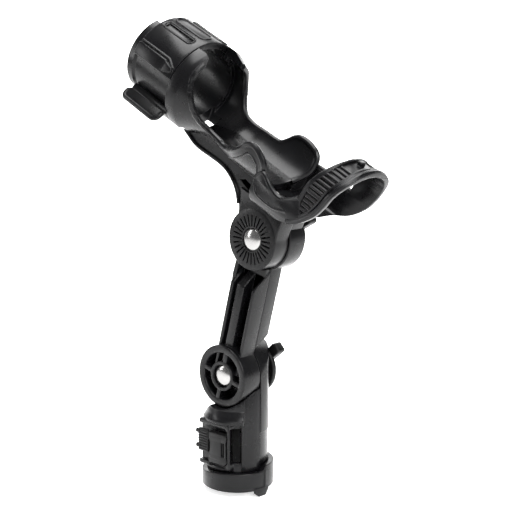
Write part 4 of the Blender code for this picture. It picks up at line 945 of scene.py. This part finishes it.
POLISHED = metal("polished_steel", (0.33, 0.325, 0.32), 0.18, 0.02)
STAINLESS = metal("stainless_steel", (0.62, 0.61, 0.6), 0.26, 0.2)
SPRING_STEEL = metal("spring_steel", (0.5, 0.5, 0.5), 0.3, 0.2)
BRASS = metal("brass", (0.72, 0.53, 0.24), 0.24, 0.2)


def bolt(name, node, body, frame_here, head_back, end):
    """A domed bolt along Y, set in its joint's frame."""
    dome = [(BOLT_HEAD_R * math.sin(a), head_back - 0.9 * MM - DOME_RISE * math.cos(a))
            for a in [math.radians(5 * i) for i in range(19)]]
    made = turn(dome + [(BOLT_HEAD_R, head_back - 0.3 * MM), (BOLT_HEAD_R - 0.3 * MM, head_back),
                        (SHANK_R, head_back), (SHANK_R, end - 0.6 * MM), (SHANK_R - 0.6 * MM, end),
                        (0, end)], "Y", 128)
    set_in(made, frame_here)
    dress(made, name, POLISHED, "polished_steel", body, node)


def washer(name, node, body, frame_here, low):
    """A flat washer with broken edges."""
    made = sleeve(BOLT_WAY_R, 9 * MM, low, low + 1.2 * MM, "Y", 96, 0.2 * MM)
    set_in(made, frame_here)
    dress(made, name, STAINLESS, "stainless_steel", body, node)


bolt("lower_dome_bolt", "lower_bolt", "arm", ARM, LOW_FACE + 3.9 * MM, LOW_EAR + 9.3 * MM)
bolt("upper_dome_bolt", "upper_bolt", "head", UPPER, DISC_FACE + 2.1 * MM, HIGH_FACE + 9.3 * MM)
washer("lower_flat_washer", "lower_washer", "arm", ARM, LOW_EAR + 0.3 * MM)
washer("upper_flat_washer", "upper_washer", "head", UPPER, HIGH_FACE + 0.3 * MM)

for finish, nodes in ((SPRING_STEEL, ("lower_release_spring", "upper_release_spring", "latch_spring",
                                      "ring_clip")),
                      (STAINLESS, ("arch_screw_1", "arch_screw_2")),
                      (BRASS, ("lower_knob_nut", "upper_knob_nut"))):
    for node in nodes:
        inside = frame["nodes"][node]
        inside.data.materials.clear()
        inside.data.materials.append(finish)

# ---- wing knobs ---------------------------------------------------------------
# The two clamping knobs on the far side: matt black nylon with a round flange, a hub
# and two rounded wings, moulded over a brass nut.
KNOB_STAND = 1.8 * MM
KNOB_DEPTH = 10 * MM
FLANGE_R = 18.2 * MM
NUT_WAY_R = 5.9 * MM
GRIPS = 4
GRIP_PITCH = 2.6


def knob(name, node, body, frame_here, ear, wing_turn):
    """A two-winged knob against an ear's face."""
    low = ear + KNOB_STAND
    top = low + KNOB_DEPTH
    pieces = [turn([(NUT_WAY_R, top - 8 * MM), (NUT_WAY_R, top), (9.3 * MM, top), (10.5 * MM, top - 1.2 * MM),
                    (12 * MM, low + 4.6 * MM), (FLANGE_R, low + 3.2 * MM), (FLANGE_R, low + 0.8 * MM),
                    (FLANGE_R - 0.8 * MM, low), (BOLT_WAY_R, low), (BOLT_WAY_R, top - 8 * MM)],
                   "Y", STEPS, 0.4 * MM)]
    for side in (0, 180):
        wing = slab(mm((9.4, -3.4), (24.4, -4.2), (26.0, -3.0), (26.0, 3.0), (24.4, 4.2), (9.4, 3.4)),
                    low + 1.6 * MM, top - 1 * MM, 0.9 * MM)
        pieces.append(moved(wing, degrees=side - wing_turn, axis="Y"))
        for i in range(GRIPS):
            start = 12.4 + GRIP_PITCH * i
            grip = block((start * MM, (start + 1) * MM), (low + 3 * MM, top - 2.4 * MM),
                         (-3.8 * MM, 3.8 * MM), 0.3 * MM)
            pieces.append(moved(grip, degrees=side - wing_turn, axis="Y"))
    made = gather(pieces)
    set_in(made, frame_here)
    dress(made, name, MATT_NYLON, "black_nylon_matt", body, node)


knob("lower_wing_knob", "lower_knob", "lower_knob", ARM, LOW_EAR, 57)
knob("upper_wing_knob", "upper_knob", "upper_knob", UPPER, HIGH_FACE, 60)
